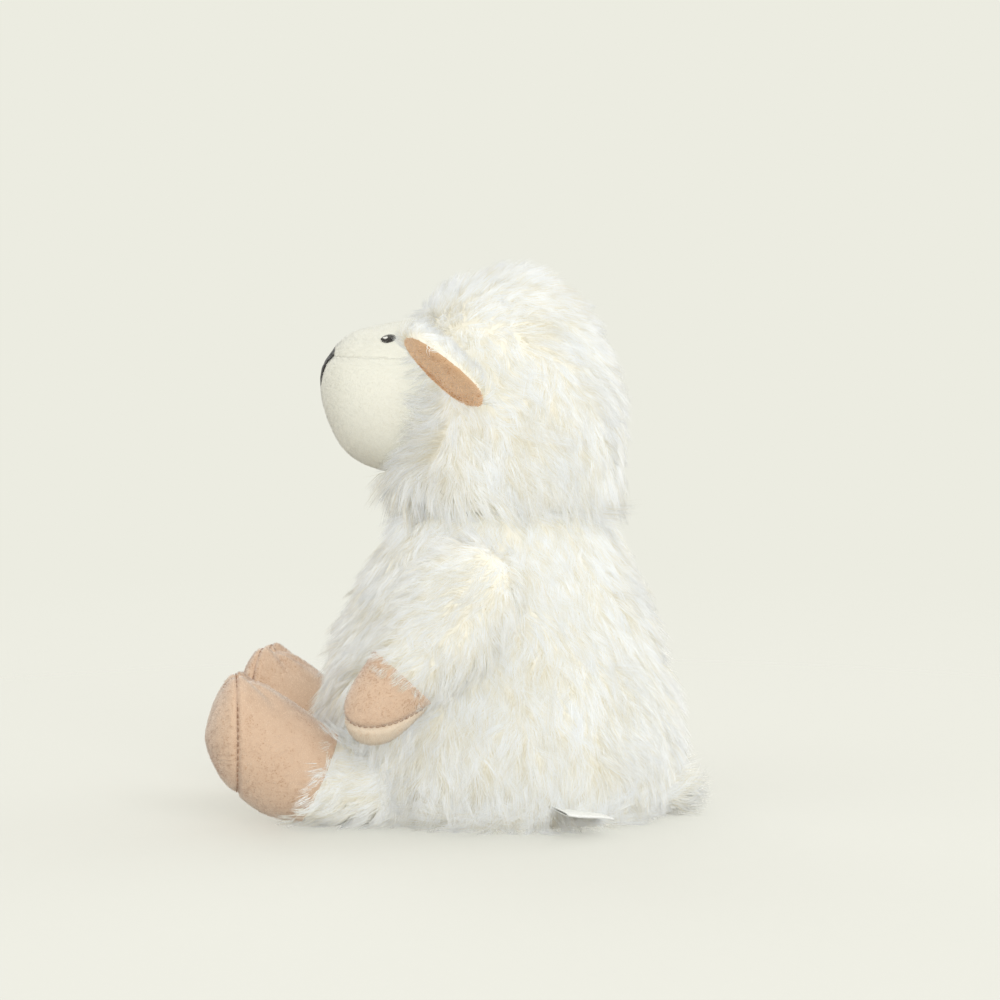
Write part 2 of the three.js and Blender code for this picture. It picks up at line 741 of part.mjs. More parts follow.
const sheep = new THREE.Group();
sheep.add(assembly(torsoPieces(), ORIGIN));
sheep.add(assembly(headPieces(), NECK));
sheep.add(...pair(earPieces(), EAR_ROOT));
sheep.add(...pair(armPieces(), ARM_HINGE));
sheep.add(...pair(legPieces(), HIP));

export default sheep;
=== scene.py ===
"""Looks of the seated plush sheep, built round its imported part: long pile, short plush and stitching."""

import logging
import math
from collections.abc import Callable, Iterator
from contextlib import contextmanager
from dataclasses import dataclass, field, replace
from enum import Enum

import bmesh
import bpy
import numpy as np
from mathutils import Matrix, Vector, kdtree


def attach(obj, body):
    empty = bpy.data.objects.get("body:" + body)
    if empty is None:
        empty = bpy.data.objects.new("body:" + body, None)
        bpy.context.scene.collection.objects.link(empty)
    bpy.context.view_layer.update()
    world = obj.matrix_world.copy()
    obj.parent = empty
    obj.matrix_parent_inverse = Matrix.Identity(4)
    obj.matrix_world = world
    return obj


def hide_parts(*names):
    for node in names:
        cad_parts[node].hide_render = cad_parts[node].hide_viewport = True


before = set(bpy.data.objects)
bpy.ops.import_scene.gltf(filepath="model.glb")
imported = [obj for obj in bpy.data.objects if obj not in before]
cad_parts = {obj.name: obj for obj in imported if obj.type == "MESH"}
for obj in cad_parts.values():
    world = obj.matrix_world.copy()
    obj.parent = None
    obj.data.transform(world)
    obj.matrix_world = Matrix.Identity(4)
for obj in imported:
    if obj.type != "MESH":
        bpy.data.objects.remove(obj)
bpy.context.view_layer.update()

LOG = logging.getLogger("sheep")
Obj = bpy.types.Object
Array = np.ndarray
Comb = Callable[[Array, Array], Array]
Keep = Callable[[Array], Array]
Rows = tuple[tuple[float, float, float, float], ...]

# Units and directions: the sheep faces -Y.
MM = 0.001
UP = Vector((0, 0, 1))
BACK = Vector((0, 1, 0))
LEFT = Vector((1, 0, 0))

# Maps of the strands. Skins lie in a strip of their own at the bottom of the map, where they take the root
# colour as painted shade under the pile.
STRAND_MAP = "strand"
BAKE_MAP = "OFBake"
FACING = "skin_facing"
SKIN_STRIP = 0.05
SKIN_START = (0.66, 0.002)
SKIN_REACH = (0.3, SKIN_STRIP - 0.004)

# Sizes in millimetres that several pieces share.
NECK_HEIGHT = 138.0
CLOTH = 1.2
LOWEST_ROOT = 1.5
DROP = 90

# How locks and strands vary: sizes in millimetres, turns in radians, ranges as shares.
BEND_POINTS = 13
SWAY_SIZE = 34
LOFT_SIZE = 24
SHADE_SIZE = 26
LOCK_TURN = 0.28
STRAND_TURN = 0.16
LOCK_LENGTHS = (0.8, 1.15)
STRAND_LENGTHS = (0.72, 1.1)
STRAND_WIDTHS = (0.75, 1.2)
PULLS = (0.5, 1.15)
STRAND_LIFT = 0.14
STRAND_SIDE = 0.5
LEAST_REST = 4
FLOOR_LIFT = (0.3, 0.6)

# Rows of place along, low, high and half-width, as shares of the sizes of each form.
TORSO_SHARES: Rows = (
    (-0.12, 0, 0, 0), (-0.1, 0.3, 0.3, 0.3), (-0.05, 0.62, 0.68, 0.62), (0, 0.78, 0.83, 0.78),
    (0.06, 0.9, 0.93, 0.9), (0.15, 0.97, 0.98, 0.975), (0.28, 1, 1, 1), (0.42, 0.98, 0.935, 0.98),
    (0.56, 0.92, 0.86, 0.925), (0.7, 0.83, 0.77, 0.855), (0.82, 0.745, 0.7, 0.79),
    (0.92, 0.67, 0.615, 0.72), (1, 0.6, 0.53, 0.63), (1.08, 0.45, 0.4, 0.45), (1.14, 0.2, 0.2, 0.2),
    (1.16, 0, 0, 0),
)
HEAD_SHARES: Rows = (
    (-0.16, 0, 0, 0), (-0.13, 0.35, 0.35, 0.35), (-0.06, 0.68, 0.66, 0.62), (0, 0.86, 0.84, 0.79),
    (0.07, 0.96, 0.915, 0.88), (0.16, 1, 0.965, 0.945), (0.28, 0.99, 1, 0.99), (0.42, 0.95, 0.99, 1),
    (0.56, 0.925, 0.935, 0.965), (0.7, 0.87, 0.8, 0.875), (0.82, 0.74, 0.65, 0.735), (0.92, 0.5, 0.43, 0.51),
    (0.98, 0.24, 0.2, 0.25), (1, 0, 0, 0),
)
MUZZLE_SHARES: Rows = (
    (0.25, 0, 0, 0), (0.29, 0.45, 0.45, 0.45), (0.36, 0.85, 0.85, 0.85), (0.45, 1.02, 1.06, 0.98),
    (0.62, 1, 1, 1), (0.72, 0.94, 0.95, 0.96), (0.82, 0.83, 0.885, 0.86), (0.9, 0.63, 0.745, 0.7),
    (0.96, 0.31, 0.53, 0.47), (0.988, 0.08, 0.35, 0.24), (1, -0.14, 0.14, 0),
)
EAR_SHARES: Rows = (
    (-0.2, 0, 0, 0), (-0.16, 0.4, 0.4, 0.6), (0, 0.62, 0.62, 0.92), (0.2, 0.88, 0.88, 1),
    (0.42, 1, 1, 1), (0.65, 0.9, 0.9, 0.95), (0.84, 0.62, 0.62, 0.85), (0.96, 0.28, 0.28, 0.5), (1, 0, 0, 0),
)
ARM_SHARES: Rows = (
    (-0.1, 0, 0, 0), (-0.07, 0.4, 0.45, 0.45), (0, 0.67, 0.78, 0.75), (0.125, 0.93, 0.96, 0.93),
    (0.29, 1.05, 0.94, 1), (0.46, 1, 0.81, 1), (0.6, 0.8, 0.74, 0.92), (0.73, 0.67, 0.7, 0.86),
    (0.83, 0.62, 0.66, 0.78), (0.915, 0.5, 0.54, 0.62), (0.975, 0.29, 0.31, 0.34), (1, 0, 0, 0),
)
FOOT_SHARES: Rows = (
    (0.17, 0, 0.535, 0.764), (0.34, 0, 0.58, 0.775), (0.455, 0, 0.685, 0.83), (0.57, 0.03, 0.79, 0.91),
    (0.68, 0.065, 0.885, 0.975), (0.77, 0.125, 0.955, 1), (0.84, 0.205, 0.99, 0.99),
    (0.91, 0.285, 0.89, 0.84), (0.96, 0.4, 0.755, 0.6), (0.988, 0.49, 0.64, 0.33), (1, 0.56, 0.56, 0),
)
HIP_SHARES = (-1, -0.94, -0.76, -0.43, 0)
BALL_SHARES = (-1, -0.94, -0.7, -0.3, 0.3, 0.7, 0.94, 1)


class Side(Enum):
    """The two sides of the body."""

    LEFT = "left"
    RIGHT = "right"

    @property
    def sign(self) -> int:
        """Plus one on the left, where X grows, and minus one on the right."""
        return 1 if self is Side.LEFT else -1

    def seed(self, first: int) -> int:
        """Number that picks the random shapes of a limb, fifty higher on the right."""
        return first if self is Side.LEFT else first + 50


class Slot(Enum):
    """Material slots of the record."""

    FUR = "fur"
    MUZZLE = "muzzle_plush"
    BEIGE = "beige_plush"
    THREAD = "thread"
    HIGHLIGHT = "highlight_thread"
    FILLING = "filling"
    POUCH = "pouch_cloth"
    PELLETS = "pellets"
    LABEL = "label"


def only(obj: Obj) -> None:
    """Leaves one object selected and active.

    Args:
        obj: the object.
    """
    bpy.ops.object.select_all(action="DESELECT")
    obj.select_set(True)
    bpy.context.view_layer.objects.active = obj


@contextmanager
def editing(obj: Obj) -> Iterator[None]:
    """Opens an object in edit mode with all of it selected.

    Args:
        obj: the object.
    """
    only(obj)
    bpy.ops.object.mode_set(mode="EDIT")
    bpy.ops.mesh.select_all(action="SELECT")
    yield
    bpy.ops.object.mode_set(mode="OBJECT")


def applied(obj: Obj, kind: str, **settings: object) -> None:
    """Adds a modifier to an object and applies it.

    Args:
        obj: the object to finish.
        kind: type of the modifier.
        settings: its properties.
    """
    only(obj)
    bpy.ops.object.modifier_add(type=kind)
    modifier = obj.modifiers[-1]
    for name, value in settings.items():
        setattr(modifier, name, value)
    bpy.ops.object.modifier_apply(modifier=modifier.name)


def cut(obj: Obj, point: Vector, normal: Vector, fill: bool = False) -> None:
    """Cuts away what lies behind a plane.

    Args:
        obj: the object to cut.
        point: a point of the plane, in millimetres.
        normal: direction of the side that stays.
        fill: whether the cut is closed with a face.
    """
    with editing(obj):
        bpy.ops.mesh.bisect(plane_co=point * MM, plane_no=normal, clear_inner=True, use_fill=fill)


def panel_of(skin: Obj, name: str, *cuts: tuple[Vector, Vector]) -> Obj:
    """Copies a skin and cuts the copy down to a panel.

    Args:
        skin: the skin.
        name: name of the copy and of its mesh.
        cuts: point and normal of each plane.

    Returns:
        The panel.
    """
    panel = skin.copy()
    panel.data = skin.data.copy()
    panel.name = panel.data.name = name
    bpy.context.collection.objects.link(panel)
    for point, normal in cuts:
        cut(panel, point, normal)
    return panel


def placing(along: Vector, high: Vector, origin: Vector) -> Matrix:
    """Frame whose Z runs along a form and Y from its low to its high side, from millimetres to metres.

    Args:
        along: direction of the form.
        high: direction of its high side.
        origin: its start, in millimetres.

    Returns:
        The matrix that places the form.
    """
    z = along.normalized()
    x = high.cross(z).normalized()
    turn = Matrix((x, z.cross(x), z)).transposed().to_4x4()
    return Matrix.Scale(MM, 4) @ Matrix.Translation(origin) @ turn


def smoothstep(low: float, high: float, value: Array) -> Array:
    """Eases values from 0 at low to 1 at high."""
    share = np.clip((value - low) / (high - low), 0, 1)
    return share * share * (3 - 2 * share)


def unit(vectors: Array) -> Array:
    """Scales vectors to length one."""
    return vectors / np.maximum(np.linalg.norm(vectors, axis=-1, keepdims=True), 1e-9)


def read(items: bpy.types.bpy_prop_collection, name: str) -> Array:
    """Reads a vector of each item.

    Args:
        items: the items, such as the vertices of a mesh.
        name: name of the vector.

    Returns:
        Rows of three.
    """
    flat = np.empty(len(items) * 3)
    items.foreach_get(name, flat)
    return flat.reshape(-1, 3)


def ripple(points: Array, size: float, seed: int) -> Array:
    """Smooth noise from a few waves in seeded directions.

    Args:
        points: places in millimetres.
        size: length of the waves in millimetres.
        seed: number that picks the waves.

    Returns:
        A value from about -1 to 1 for each point.
    """
    rng = np.random.default_rng(seed)
    waves = unit(rng.normal(size=(6, 3))) * (2 * math.pi / size) * rng.uniform(0.6, 1.5, (6, 1))
    return np.sin(points @ waves.T + rng.uniform(0, 2 * math.pi, 6)).sum(axis=1) / 3


def laid_along(flow: Array, normals: Array, turn: Array) -> Array:
    """Lays directions flat on a skin and turns each one there by its angle in radians."""
    flow = unit(flow - (flow * normals).sum(axis=1, keepdims=True) * normals)
    return unit(flow * np.cos(turn) + np.cross(normals, flow) * np.sin(turn))


@dataclass(frozen=True)
class Swelling:
    """A stuffed form through rows of along, low, high and half-width, in millimetres.

    Attributes:
        rows: the rows that the form runs through.
        sides: sides round the form.
        rings: rings along it.
    """

    rows: Rows
    sides: int = 28
    rings: int = 18

    def row(self, share: float) -> tuple[float, float, float, float]:
        """Finds the section at a share of the rows.

        Args:
            share: place from 0 at the first row to 1 at the last.

        Returns:
            Place along, middle, half-depth and half-width there.
        """
        rows = np.array(self.rows)
        place = share * (len(rows) - 1)
        first = min(int(place), len(rows) - 2)
        t = place - first
        a, b, c, d = (rows[min(max(first + step, 0), len(rows) - 1)] for step in (-1, 0, 1, 2))
        into, out = (c - a) / 2, (d - b) / 2
        along, low, high, half = (
            (2 * b - 2 * c + into + out) * t**3 + (3 * c - 3 * b - 2 * into - out) * t**2 + into * t + b
        )
        return along, (low + high) / 2, (high - low) / 2, half

    def model(self, name: str, place: Matrix, inset: float = 0, level: int = 1) -> Obj:
        """Shapes a sphere ring by ring into the form and puts it in its place.

        Args:
            name: name of the object.
            place: matrix from the form's own millimetres to the scene.
            inset: how far the surface moves in, in millimetres.
            level: level of the subdivision that rounds it.

        Returns:
            The closed form.
        """
        bpy.ops.mesh.primitive_uv_sphere_add(segments=self.sides, ring_count=self.rings, radius=1)
        obj = bpy.context.object
        obj.name = obj.data.name = name
        steps = [round(math.acos(max(-1, min(1, -v.co.z))) / math.pi * self.rings) for v in obj.data.vertices]
        with editing(obj):
            for step in range(self.rings + 1):
                self.shape_ring(obj.data, steps, step)
            if inset:
                bpy.ops.mesh.select_all(action="SELECT")
                bpy.ops.transform.shrink_fatten(value=-inset)
        applied(obj, "SUBSURF", levels=level, render_levels=level)
        obj.data.transform(place)
        obj.data.uv_layers[0].name = STRAND_MAP
        bpy.ops.object.shade_smooth()
        return obj

    def shape_ring(self, mesh: bpy.types.Mesh, steps: list[int], step: int) -> None:
        """Moves one ring of the sphere to its section of the form.

        Args:
            mesh: the mesh in edit mode.
            steps: which ring each vertex belongs to.
            step: the ring to move.
        """
        bpy.ops.mesh.select_all(action="DESELECT")
        edit = bmesh.from_edit_mesh(mesh)
        edit.verts.ensure_lookup_table()
        for index, ring in enumerate(steps):
            if ring == step:
                edit.verts[index].select_set(True)
        edit.select_flush_mode()
        height = -math.cos(math.pi * step / self.rings)
        radius = math.sin(math.pi * step / self.rings)
        along, middle, depth, half = self.row(step / self.rings)
        if 0 < step < self.rings:
            bpy.ops.transform.resize(value=(half / radius, depth / radius, 1), center_override=(0, 0, height))
        bpy.ops.transform.translate(value=(0, middle, along - height))


def scaled(shares: Rows, length: float, low: float, high: float, half: float) -> Rows:
    """Turns rows of shares into millimetres by the form's length, its two depths and its half-width."""
    return tuple((row[0] * length, -row[1] * low, row[2] * high, row[3] * half) for row in shares)


@dataclass
class Roots:
    """Where strands grow from: places in millimetres, the skin's normals, combed directions."""

    points: Array
    normals: Array
    combed: Array | None = None

    @property
    def across(self) -> Array:
        """Directions on the skin across the combing."""
        return np.cross(self.normals, self.combed)


def sown(skin: Obj, density: float, seed: int) -> Roots:
    """Scatters roots evenly over a skin.

    Args:
        skin: the object that strands grow on.
        density: roots for each square millimetre.
        seed: number that picks the places.

    Returns:
        The roots.
    """
    rng = np.random.default_rng(seed)
    mesh = skin.data
    mesh.calc_loop_triangles()
    corners = np.array([face.vertices[:] for face in mesh.loop_triangles])
    places = read(mesh.vertices, "co") / MM
    facing = read(mesh.vertices, "normal")
    a, b, c = (places[corners[:, k]] for k in range(3))
    areas = np.linalg.norm(np.cross(b - a, c - a), axis=1) / 2
    count = int(areas.sum() * density)
    spread = (np.arange(count) + rng.random(count)) / count * areas.sum()
    picked = np.minimum(np.searchsorted(np.cumsum(areas), spread), len(areas) - 1)
    u, v = rng.random((2, count))
    over = u + v > 1
    u[over], v[over] = 1 - u[over], 1 - v[over]
    weights = np.stack([1 - u - v, u, v], axis=1)[:, :, None]
    points = (places[corners[picked]] * weights).sum(axis=1)
    return Roots(points, unit((facing[corners[picked]] * weights).sum(axis=1)))


class Strand:
    """One strand or thread modelled as a thin cone or rod, whose rings the copies bend."""

    def __init__(self, heights: tuple[float, ...], sides: int = 3, tip: float = 0) -> None:
        """Models the strand.

        Args:
            heights: where its rings lie between root and tip.
            sides: sides round it.
            tip: radius of its tip as a share of the root's.
        """
        bpy.ops.mesh.primitive_cone_add(vertices=sides, radius1=1, radius2=tip, depth=1, location=(0, 0, 0.5))
        obj = bpy.context.object
        bpy.ops.object.transform_apply(location=True)
        with editing(obj):
            for height in heights:
                bpy.ops.mesh.select_all(action="SELECT")
                bpy.ops.mesh.bisect(plane_co=(0, 0, height), plane_no=UP)
        places = read(obj.data.vertices, "co")
        self.height = places[:, 2]
        swell = 1 if tip else (1 - self.height) ** 0.45 / np.maximum(1 - self.height, 1e-6)
        self.across = places[:, 0] * swell
        self.deep = places[:, 1] * swell
        self.steps = np.array([0.0, *heights, 1.0])
        self.ring = np.abs(self.height[:, None] - self.steps[None]).argmin(axis=1)
        self.faces = [tuple(face.vertices) for face in obj.data.polygons]
        bpy.data.meshes.remove(obj.data)

    def planted(self, name: str, paths: Array, across: Array, width: Array, tone: Array, facing: Array,
                own: float = 0.48) -> Obj:
        """Copies the strand along paths, all in one mesh.

        Args:
            name: name of the object.
            paths: points of each path, one for each ring, in millimetres.
            across: direction across each path.
            width: half-width of each strand in millimetres.
            tone: shade of each strand from 0 to 1, kept in its map.
            facing: normal of the skin under each strand.
            own: share of each strand's own shape in its shading.

        Returns:
            The object that holds the strands.
        """
        count, size = len(paths), len(self.height)
        ahead = unit(np.gradient(paths, axis=1))
        across = np.repeat(across[:, None], len(self.steps), axis=1)
        deep = unit(np.cross(ahead, across))
        round_it = (
            across[:, self.ring] * self.across[None, :, None] + deep[:, self.ring] * self.deep[None, :, None]
        )
        places = paths[:, self.ring] + width[:, None, None] * round_it
        shown = unit((1 - own) * facing[:, None] + own * unit(round_it + 0.3 * ahead[:, self.ring]))
        corners = np.concatenate([np.array(face) for face in self.faces])
        totals = np.tile([len(face) for face in self.faces], count)
        loops = (corners[None] + np.arange(count)[:, None] * size).ravel()
        mesh = bpy.data.meshes.new(name)
        mesh.vertices.add(count * size)
        mesh.vertices.foreach_set("co", (places * MM).astype(np.float32).ravel())
        mesh.loops.add(len(loops))
        mesh.loops.foreach_set("vertex_index", loops.astype(np.int32))
        mesh.polygons.add(len(totals))
        mesh.polygons.foreach_set("loop_start", (np.cumsum(totals) - totals).astype(np.int32))
        mesh.polygons.foreach_set("loop_total", totals.astype(np.int32))
        mesh.update(calc_edges=True)
        normals = mesh.attributes.new(FACING, "FLOAT_VECTOR", "POINT")
        normals.data.foreach_set("vector", shown.astype(np.float32).ravel())
        u = 0.03 + 0.94 * tone[:, None] + 0.008 * self.across[None, :]
        low = SKIN_STRIP + 0.02
        v = low + (0.98 - low) * self.height + 0.008 * self.deep
        both = np.stack([u, np.repeat(v[None], count, axis=0)], axis=2).reshape(-1, 2)
        layer = mesh.uv_layers.new(name=STRAND_MAP)
        layer.data.foreach_set("uv", both[loops].astype(np.float32).ravel())
        obj = bpy.data.objects.new(name, mesh)
        bpy.context.collection.objects.link(obj)
        return obj

    def threads(self, name: str, lines: Array, facing: Array, width: float, tone: Array) -> Obj:
        """Lays threads along lines, without the shading that fibres take from their skin.

        Args:
            name: name of the object.
            lines: points of each thread, in millimetres.
            facing: direction in which each one faces.
            width: half-width of a thread.
            tone: shade of each thread.

        Returns:
            The threads as one object.
        """
        across = unit(np.cross(facing, lines[:, -1] - lines[:, 0]))
        made = self.planted(name, lines, across, np.full(len(lines), width), tone, facing)
        made.data.attributes.remove(made.data.attributes[FACING])
        return made


@dataclass(frozen=True)
class Pile:
    """Long combed pile, sizes in millimetres and angles in degrees.

    Attributes:
        length: length of a strand.
        density: strands for each square millimetre.
        width: half-width of a strand at its root.
        rise: angle of a strand over the skin at its root.
        rest: angle over the skin at its tip.
        lock: spacing of the locks that strands gather in.
        gather: share by which tips draw together in a lock, which also sets how much painted shade darkens
            the strands at a lock's edges.
        sway: slow turn of the combing, in radians.
        mottle: how much the tone changes from lock to lock, at random and by the painted shade at the edges
            of locks.
        grain: how much it changes from strand to strand.
        wave: sideways wave of a lock as a share of its length.
        own: share of a strand's own shape in its shading.
    """

    length: float = 17
    density: float = 1.32
    width: float = 0.15
    rise: float = 54
    rest: float = 14
    lock: float = 3.8
    gather: float = 0.5
    sway: float = 0.45
    mottle: float = 1
    grain: float = 0.2
    wave: float = 0.12
    own: float = 0.48

    def path(self, roots: Roots, length: Array, rise: Array, rest: Array, steps: Array, wave: Array) -> Array:
        """Bends strands up from the skin and over along the combing.

        Args:
            roots: where they grow.
            length: their lengths.
            rise: their angles at the root, in radians.
            rest: their angles at the tip, in radians.
            steps: shares of the length at which points are wanted.
            wave: sideways wave of each strand, in millimetres.

        Returns:
            The points of each path.
        """
        fine = np.linspace(0, 1, BEND_POINTS)
        nearest = np.abs(fine[None] - steps[:, None]).argmin(axis=1)
        angle = rise[:, None] + (rest - rise)[:, None] * fine[None] ** 0.8
        ahead, up = (np.cumsum(turned, axis=1) / BEND_POINTS for turned in (np.cos(angle), np.sin(angle)))
        ahead, up = ((run - run[:, :1])[:, nearest] * length[:, None] for run in (ahead, up))
        side = wave[:, None] * np.sin(steps[None] * 4.2) * steps[None]
        return roots.points[:, None] + sum(
            run[:, :, None] * way[:, None]
            for run, way in ((ahead, roots.combed), (up, roots.normals), (side, roots.across))
        )

    def grown(self, skin: Obj, strand: Strand, comb: Comb, seed: int, keep: Keep | None = None,
              trim: Keep | None = None, loft: Keep | None = None, toward: Vector | None = None) -> Obj:
        """Grows the pile on a skin.

        Args:
            skin: the object that it grows on.
            strand: the modelled strand.
            comb: gives the direction of the pile.
            seed: number that picks places and shapes.
            keep: says which places grow strands, or None for all.
            trim: share of the full length at each place, or None for the full length.
            loft: degrees by which strands stand up more at each place, or None for none.
            toward: direction to which their shading leans, or None for none.

        Returns:
            The object that holds the strands.
        """
        rng = np.random.default_rng(seed)
        locks = sown(skin, 1 / self.lock**2, seed + 1)
        sway = self.sway * ripple(locks.points, SWAY_SIZE, seed)[:, None]
        locks.combed = laid_along(comb(locks.points, locks.normals), locks.normals, sway)
        roots = sown(skin, self.density, seed + 2)
        kept = roots.points[:, 2] > LOWEST_ROOT
        if keep:
            kept &= keep(roots.points)
        roots = Roots(roots.points[kept], roots.normals[kept])
        tree = kdtree.KDTree(len(locks.points))
        for index, point in enumerate(locks.points):
            tree.insert(point, index)
        tree.balance()
        lock = np.array([tree.find(point)[1] for point in roots.points])
        amount, count = len(locks.points), len(roots.points)
        locks.combed = laid_along(locks.combed, locks.normals, rng.normal(0, LOCK_TURN, amount)[:, None])
        lock_length = self.length * rng.uniform(*LOCK_LENGTHS, amount)
        if trim:
            lock_length *= trim(locks.points)
        stir = 18 * ripple(locks.points, LOFT_SIZE, seed + 3) + rng.normal(0, 12, amount)
        lift = loft(locks.points) if loft else np.zeros(amount)
        lock_rise = np.radians(self.rise + self.rise / 50 * stir + lift)
        lock_rest = np.radians(np.maximum(self.rest + lift, LEAST_REST))
        lock_wave = rng.normal(0, self.wave * self.length, amount)
        turn = rng.normal(0, STRAND_TURN, count)[:, None]
        roots.combed = laid_along(locks.combed[lock], roots.normals, turn)
        length = lock_length[lock] * rng.uniform(*STRAND_LENGTHS, count)
        rise = lock_rise[lock] + rng.normal(0, STRAND_LIFT, count)
        wave = lock_wave[lock] + rng.normal(0, STRAND_SIDE, count)
        paths = self.path(roots, length, rise, lock_rest[lock], strand.steps, wave)
        guides = self.path(locks, lock_length, lock_rise, lock_rest, strand.steps, lock_wave)[lock]
        pull = (self.gather * rng.uniform(*PULLS, count))[:, None, None] * strand.steps[None, :, None] ** 1.4
        paths = paths + (guides - paths) * pull
        lowest = FLOOR_LIFT[0] + FLOOR_LIFT[1] * rng.random((count, 1))
        paths[:, :, 2] = np.maximum(paths[:, :, 2], lowest)
        width = self.width * rng.uniform(*STRAND_WIDTHS, count)
        edge = np.linalg.norm(roots.points - locks.points[lock], axis=1) / self.lock
        tone = 0.16 * ripple(locks.points, SHADE_SIZE, seed + 5)[lock] + rng.normal(0, 0.1, amount)[lock]
        # Painted shade: strands far from the middle of their lock get a lower tone, which darkens them with
        # the deep tint as in the crevices between locks.
        tone += self.gather * (0.45 - edge)
        tone = np.clip(0.5 + self.mottle * tone + rng.normal(0, self.grain, count), 0, 1)
        facing = unit(roots.normals + np.array(toward or Vector()))
        return strand.planted(skin.name + "_strands", paths, roots.across, width, tone, facing, self.own)


@dataclass(frozen=True)
class Kit:
    """What the pieces share: the modelled strand of pile, nap of plush and rod of thread, and the plush."""

    strand: Strand
    nap: Strand
    rod: Strand
    plush: Pile


def covered(skin: Obj, strands: Obj, thickness: float = CLOTH) -> Obj:
    """Gives a skin its thickness, lays its map in the strip kept for skins and joins its strands to it.

    Args:
        skin: the open or closed skin.
        strands: what grows on it.
        thickness: thickness of the cloth in millimetres, or 0 for a closed form.

    Returns:
        The finished piece.
    """
    if thickness:
        applied(skin, "SOLIDIFY", thickness=thickness * MM, offset=-1)
    mesh = skin.data
    layer = mesh.uv_layers[STRAND_MAP]
    flat = np.empty(len(layer.data) * 2, dtype=np.float32)
    layer.data.foreach_get("uv", flat)
    # In the skins' strip the fibre finishes give the root colour, painted shade between the strands.
    flat = np.clip(flat.reshape(-1, 2), 0, 1) * SKIN_REACH + SKIN_START
    layer.data.foreach_set("uv", flat.astype(np.float32).ravel())
    only(skin)
    strands.select_set(True)
    bpy.ops.object.join()
    source = mesh.uv_layers[STRAND_MAP]
    flat = np.empty(len(source.data) * 2, dtype=np.float32)
    source.data.foreach_get("uv", flat)
    mesh.uv_layers.new(name=BAKE_MAP)
    mesh.uv_layers[BAKE_MAP].data.foreach_set("uv", flat)
    facing = read(mesh.attributes[FACING].data, "vector")
    own = read(mesh.vertices, "normal")
    bare = (np.abs(facing).sum(axis=1) < 1e-6)[:, None]
    mesh.attributes.remove(mesh.attributes[FACING])
    mesh.normals_split_custom_set_from_vertices(np.where(bare, own, facing).astype(np.float32))
    return skin


def shade(code: str) -> tuple[float, float, float, float]:
    """Turns a colour into linear light.

    Args:
        code: the colour as six hexadecimal digits.

    Returns:
        Red, green, blue and opacity.
    """
    parts = [int(code[k:k + 2], 16) / 255 for k in (0, 2, 4)]
    red, green, blue = (p / 12.92 if p <= 0.04045 else ((p + 0.055) / 1.055) ** 2.4 for p in parts)
    return red, green, blue, 1.0


class Tree:
    """Nodes and links of a material, a world or a node group."""

    def __init__(self, tree: bpy.types.NodeTree) -> None:
        """Takes the tree that the nodes go into."""
        self.tree = tree

    def feed(self, node: bpy.types.Node, values: dict[str | int, object]) -> None:
        """Gives inputs of a node their values.

        Args:
            node: the node.
            values: values, or the sockets that they come from, by the name or number of the input.
        """
        for name, value in values.items():
            if isinstance(value, bpy.types.NodeSocket):
                self.tree.links.new(value, node.inputs[name])
            else:
                node.inputs[name].default_value = value

    def add(self, kind: str, values: dict[str | int, object] | None = None,
            **settings: object) -> bpy.types.Node:
        """Adds a node.

        Args:
            kind: its type.
            values: values or sockets for its inputs.
            settings: its properties.

        Returns:
            The node.
        """
        node = self.tree.nodes.new(kind)
        for name, value in settings.items():
            setattr(node, name, value)
        self.feed(node, values or {})
        return node

    def mix(self, share: object, first: object, second: object, blend: str = "MIX") -> bpy.types.NodeSocket:
        """Mixes two colours by the share of the second one."""
        values = {0: share, 6: first, 7: second}
        return self.add("ShaderNodeMix", values, data_type="RGBA", blend_type=blend).outputs[2]

    def step(self, value: object, low: float, high: float, start: float = 0, end: float = 1) -> object:
        """Maps a value from the range low to high to the range start to end, clamped."""
        return self.add("ShaderNodeMapRange", {0: value, 1: low, 2: high, 3: start, 4: end}).outputs[0]

    def blend(self, output: str, share: object, first: object, second: object) -> None:
        """Mixes two shaders by the share of the second one and feeds the tree's output."""
        both = self.add("ShaderNodeMixShader", {0: share, 1: first, 2: second})
        self.feed(self.tree.nodes[output], {0: both.outputs[0]})


def fibre_shade() -> bpy.types.NodeTree:
    """Gives the node group that colours fibres from root to tip, with painted shade towards the root, and
    from strand to strand.

    Returns:
        The node group, with the colours for root (painted shade), middle, tip and darker strands (random tone
        and painted shade at the edges of locks), and the mixed colour.
    """
    group = bpy.data.node_groups.get("fibre_shade")
    if group:
        return group
    group = bpy.data.node_groups.new("fibre_shade", "ShaderNodeTree")
    for name in ("Root", "Middle", "Tip", "Deep"):
        group.interface.new_socket(name, in_out="INPUT", socket_type="NodeSocketColor")
    group.interface.new_socket("Colour", in_out="OUTPUT", socket_type="NodeSocketColor")
    tree = Tree(group)
    given = tree.add("NodeGroupInput")
    strand = tree.add("ShaderNodeUVMap", uv_map=STRAND_MAP)
    parts = tree.add("ShaderNodeSeparateXYZ", {0: strand.outputs[0]})
    # Painted shade: the colour darkens and warms from tip to root, and bare skin below the strands takes the
    # root colour.
    lower = tree.step(parts.outputs[1], SKIN_STRIP, 0.5)
    upper = tree.step(parts.outputs[1], 0.4, 1)
    colour = tree.mix(lower, given.outputs["Root"], given.outputs["Middle"])
    colour = tree.mix(upper, colour, given.outputs["Tip"])
    # Strands of low tone take the darker tint: random tone and painted shade at the edges of locks.
    tone = tree.step(parts.outputs[0], 0.62, 0.05)
    colour = tree.mix(tone, colour, tree.mix(1.0, colour, given.outputs["Deep"], "MULTIPLY"))
    tree.add("NodeGroupOutput", {0: colour})
    return group


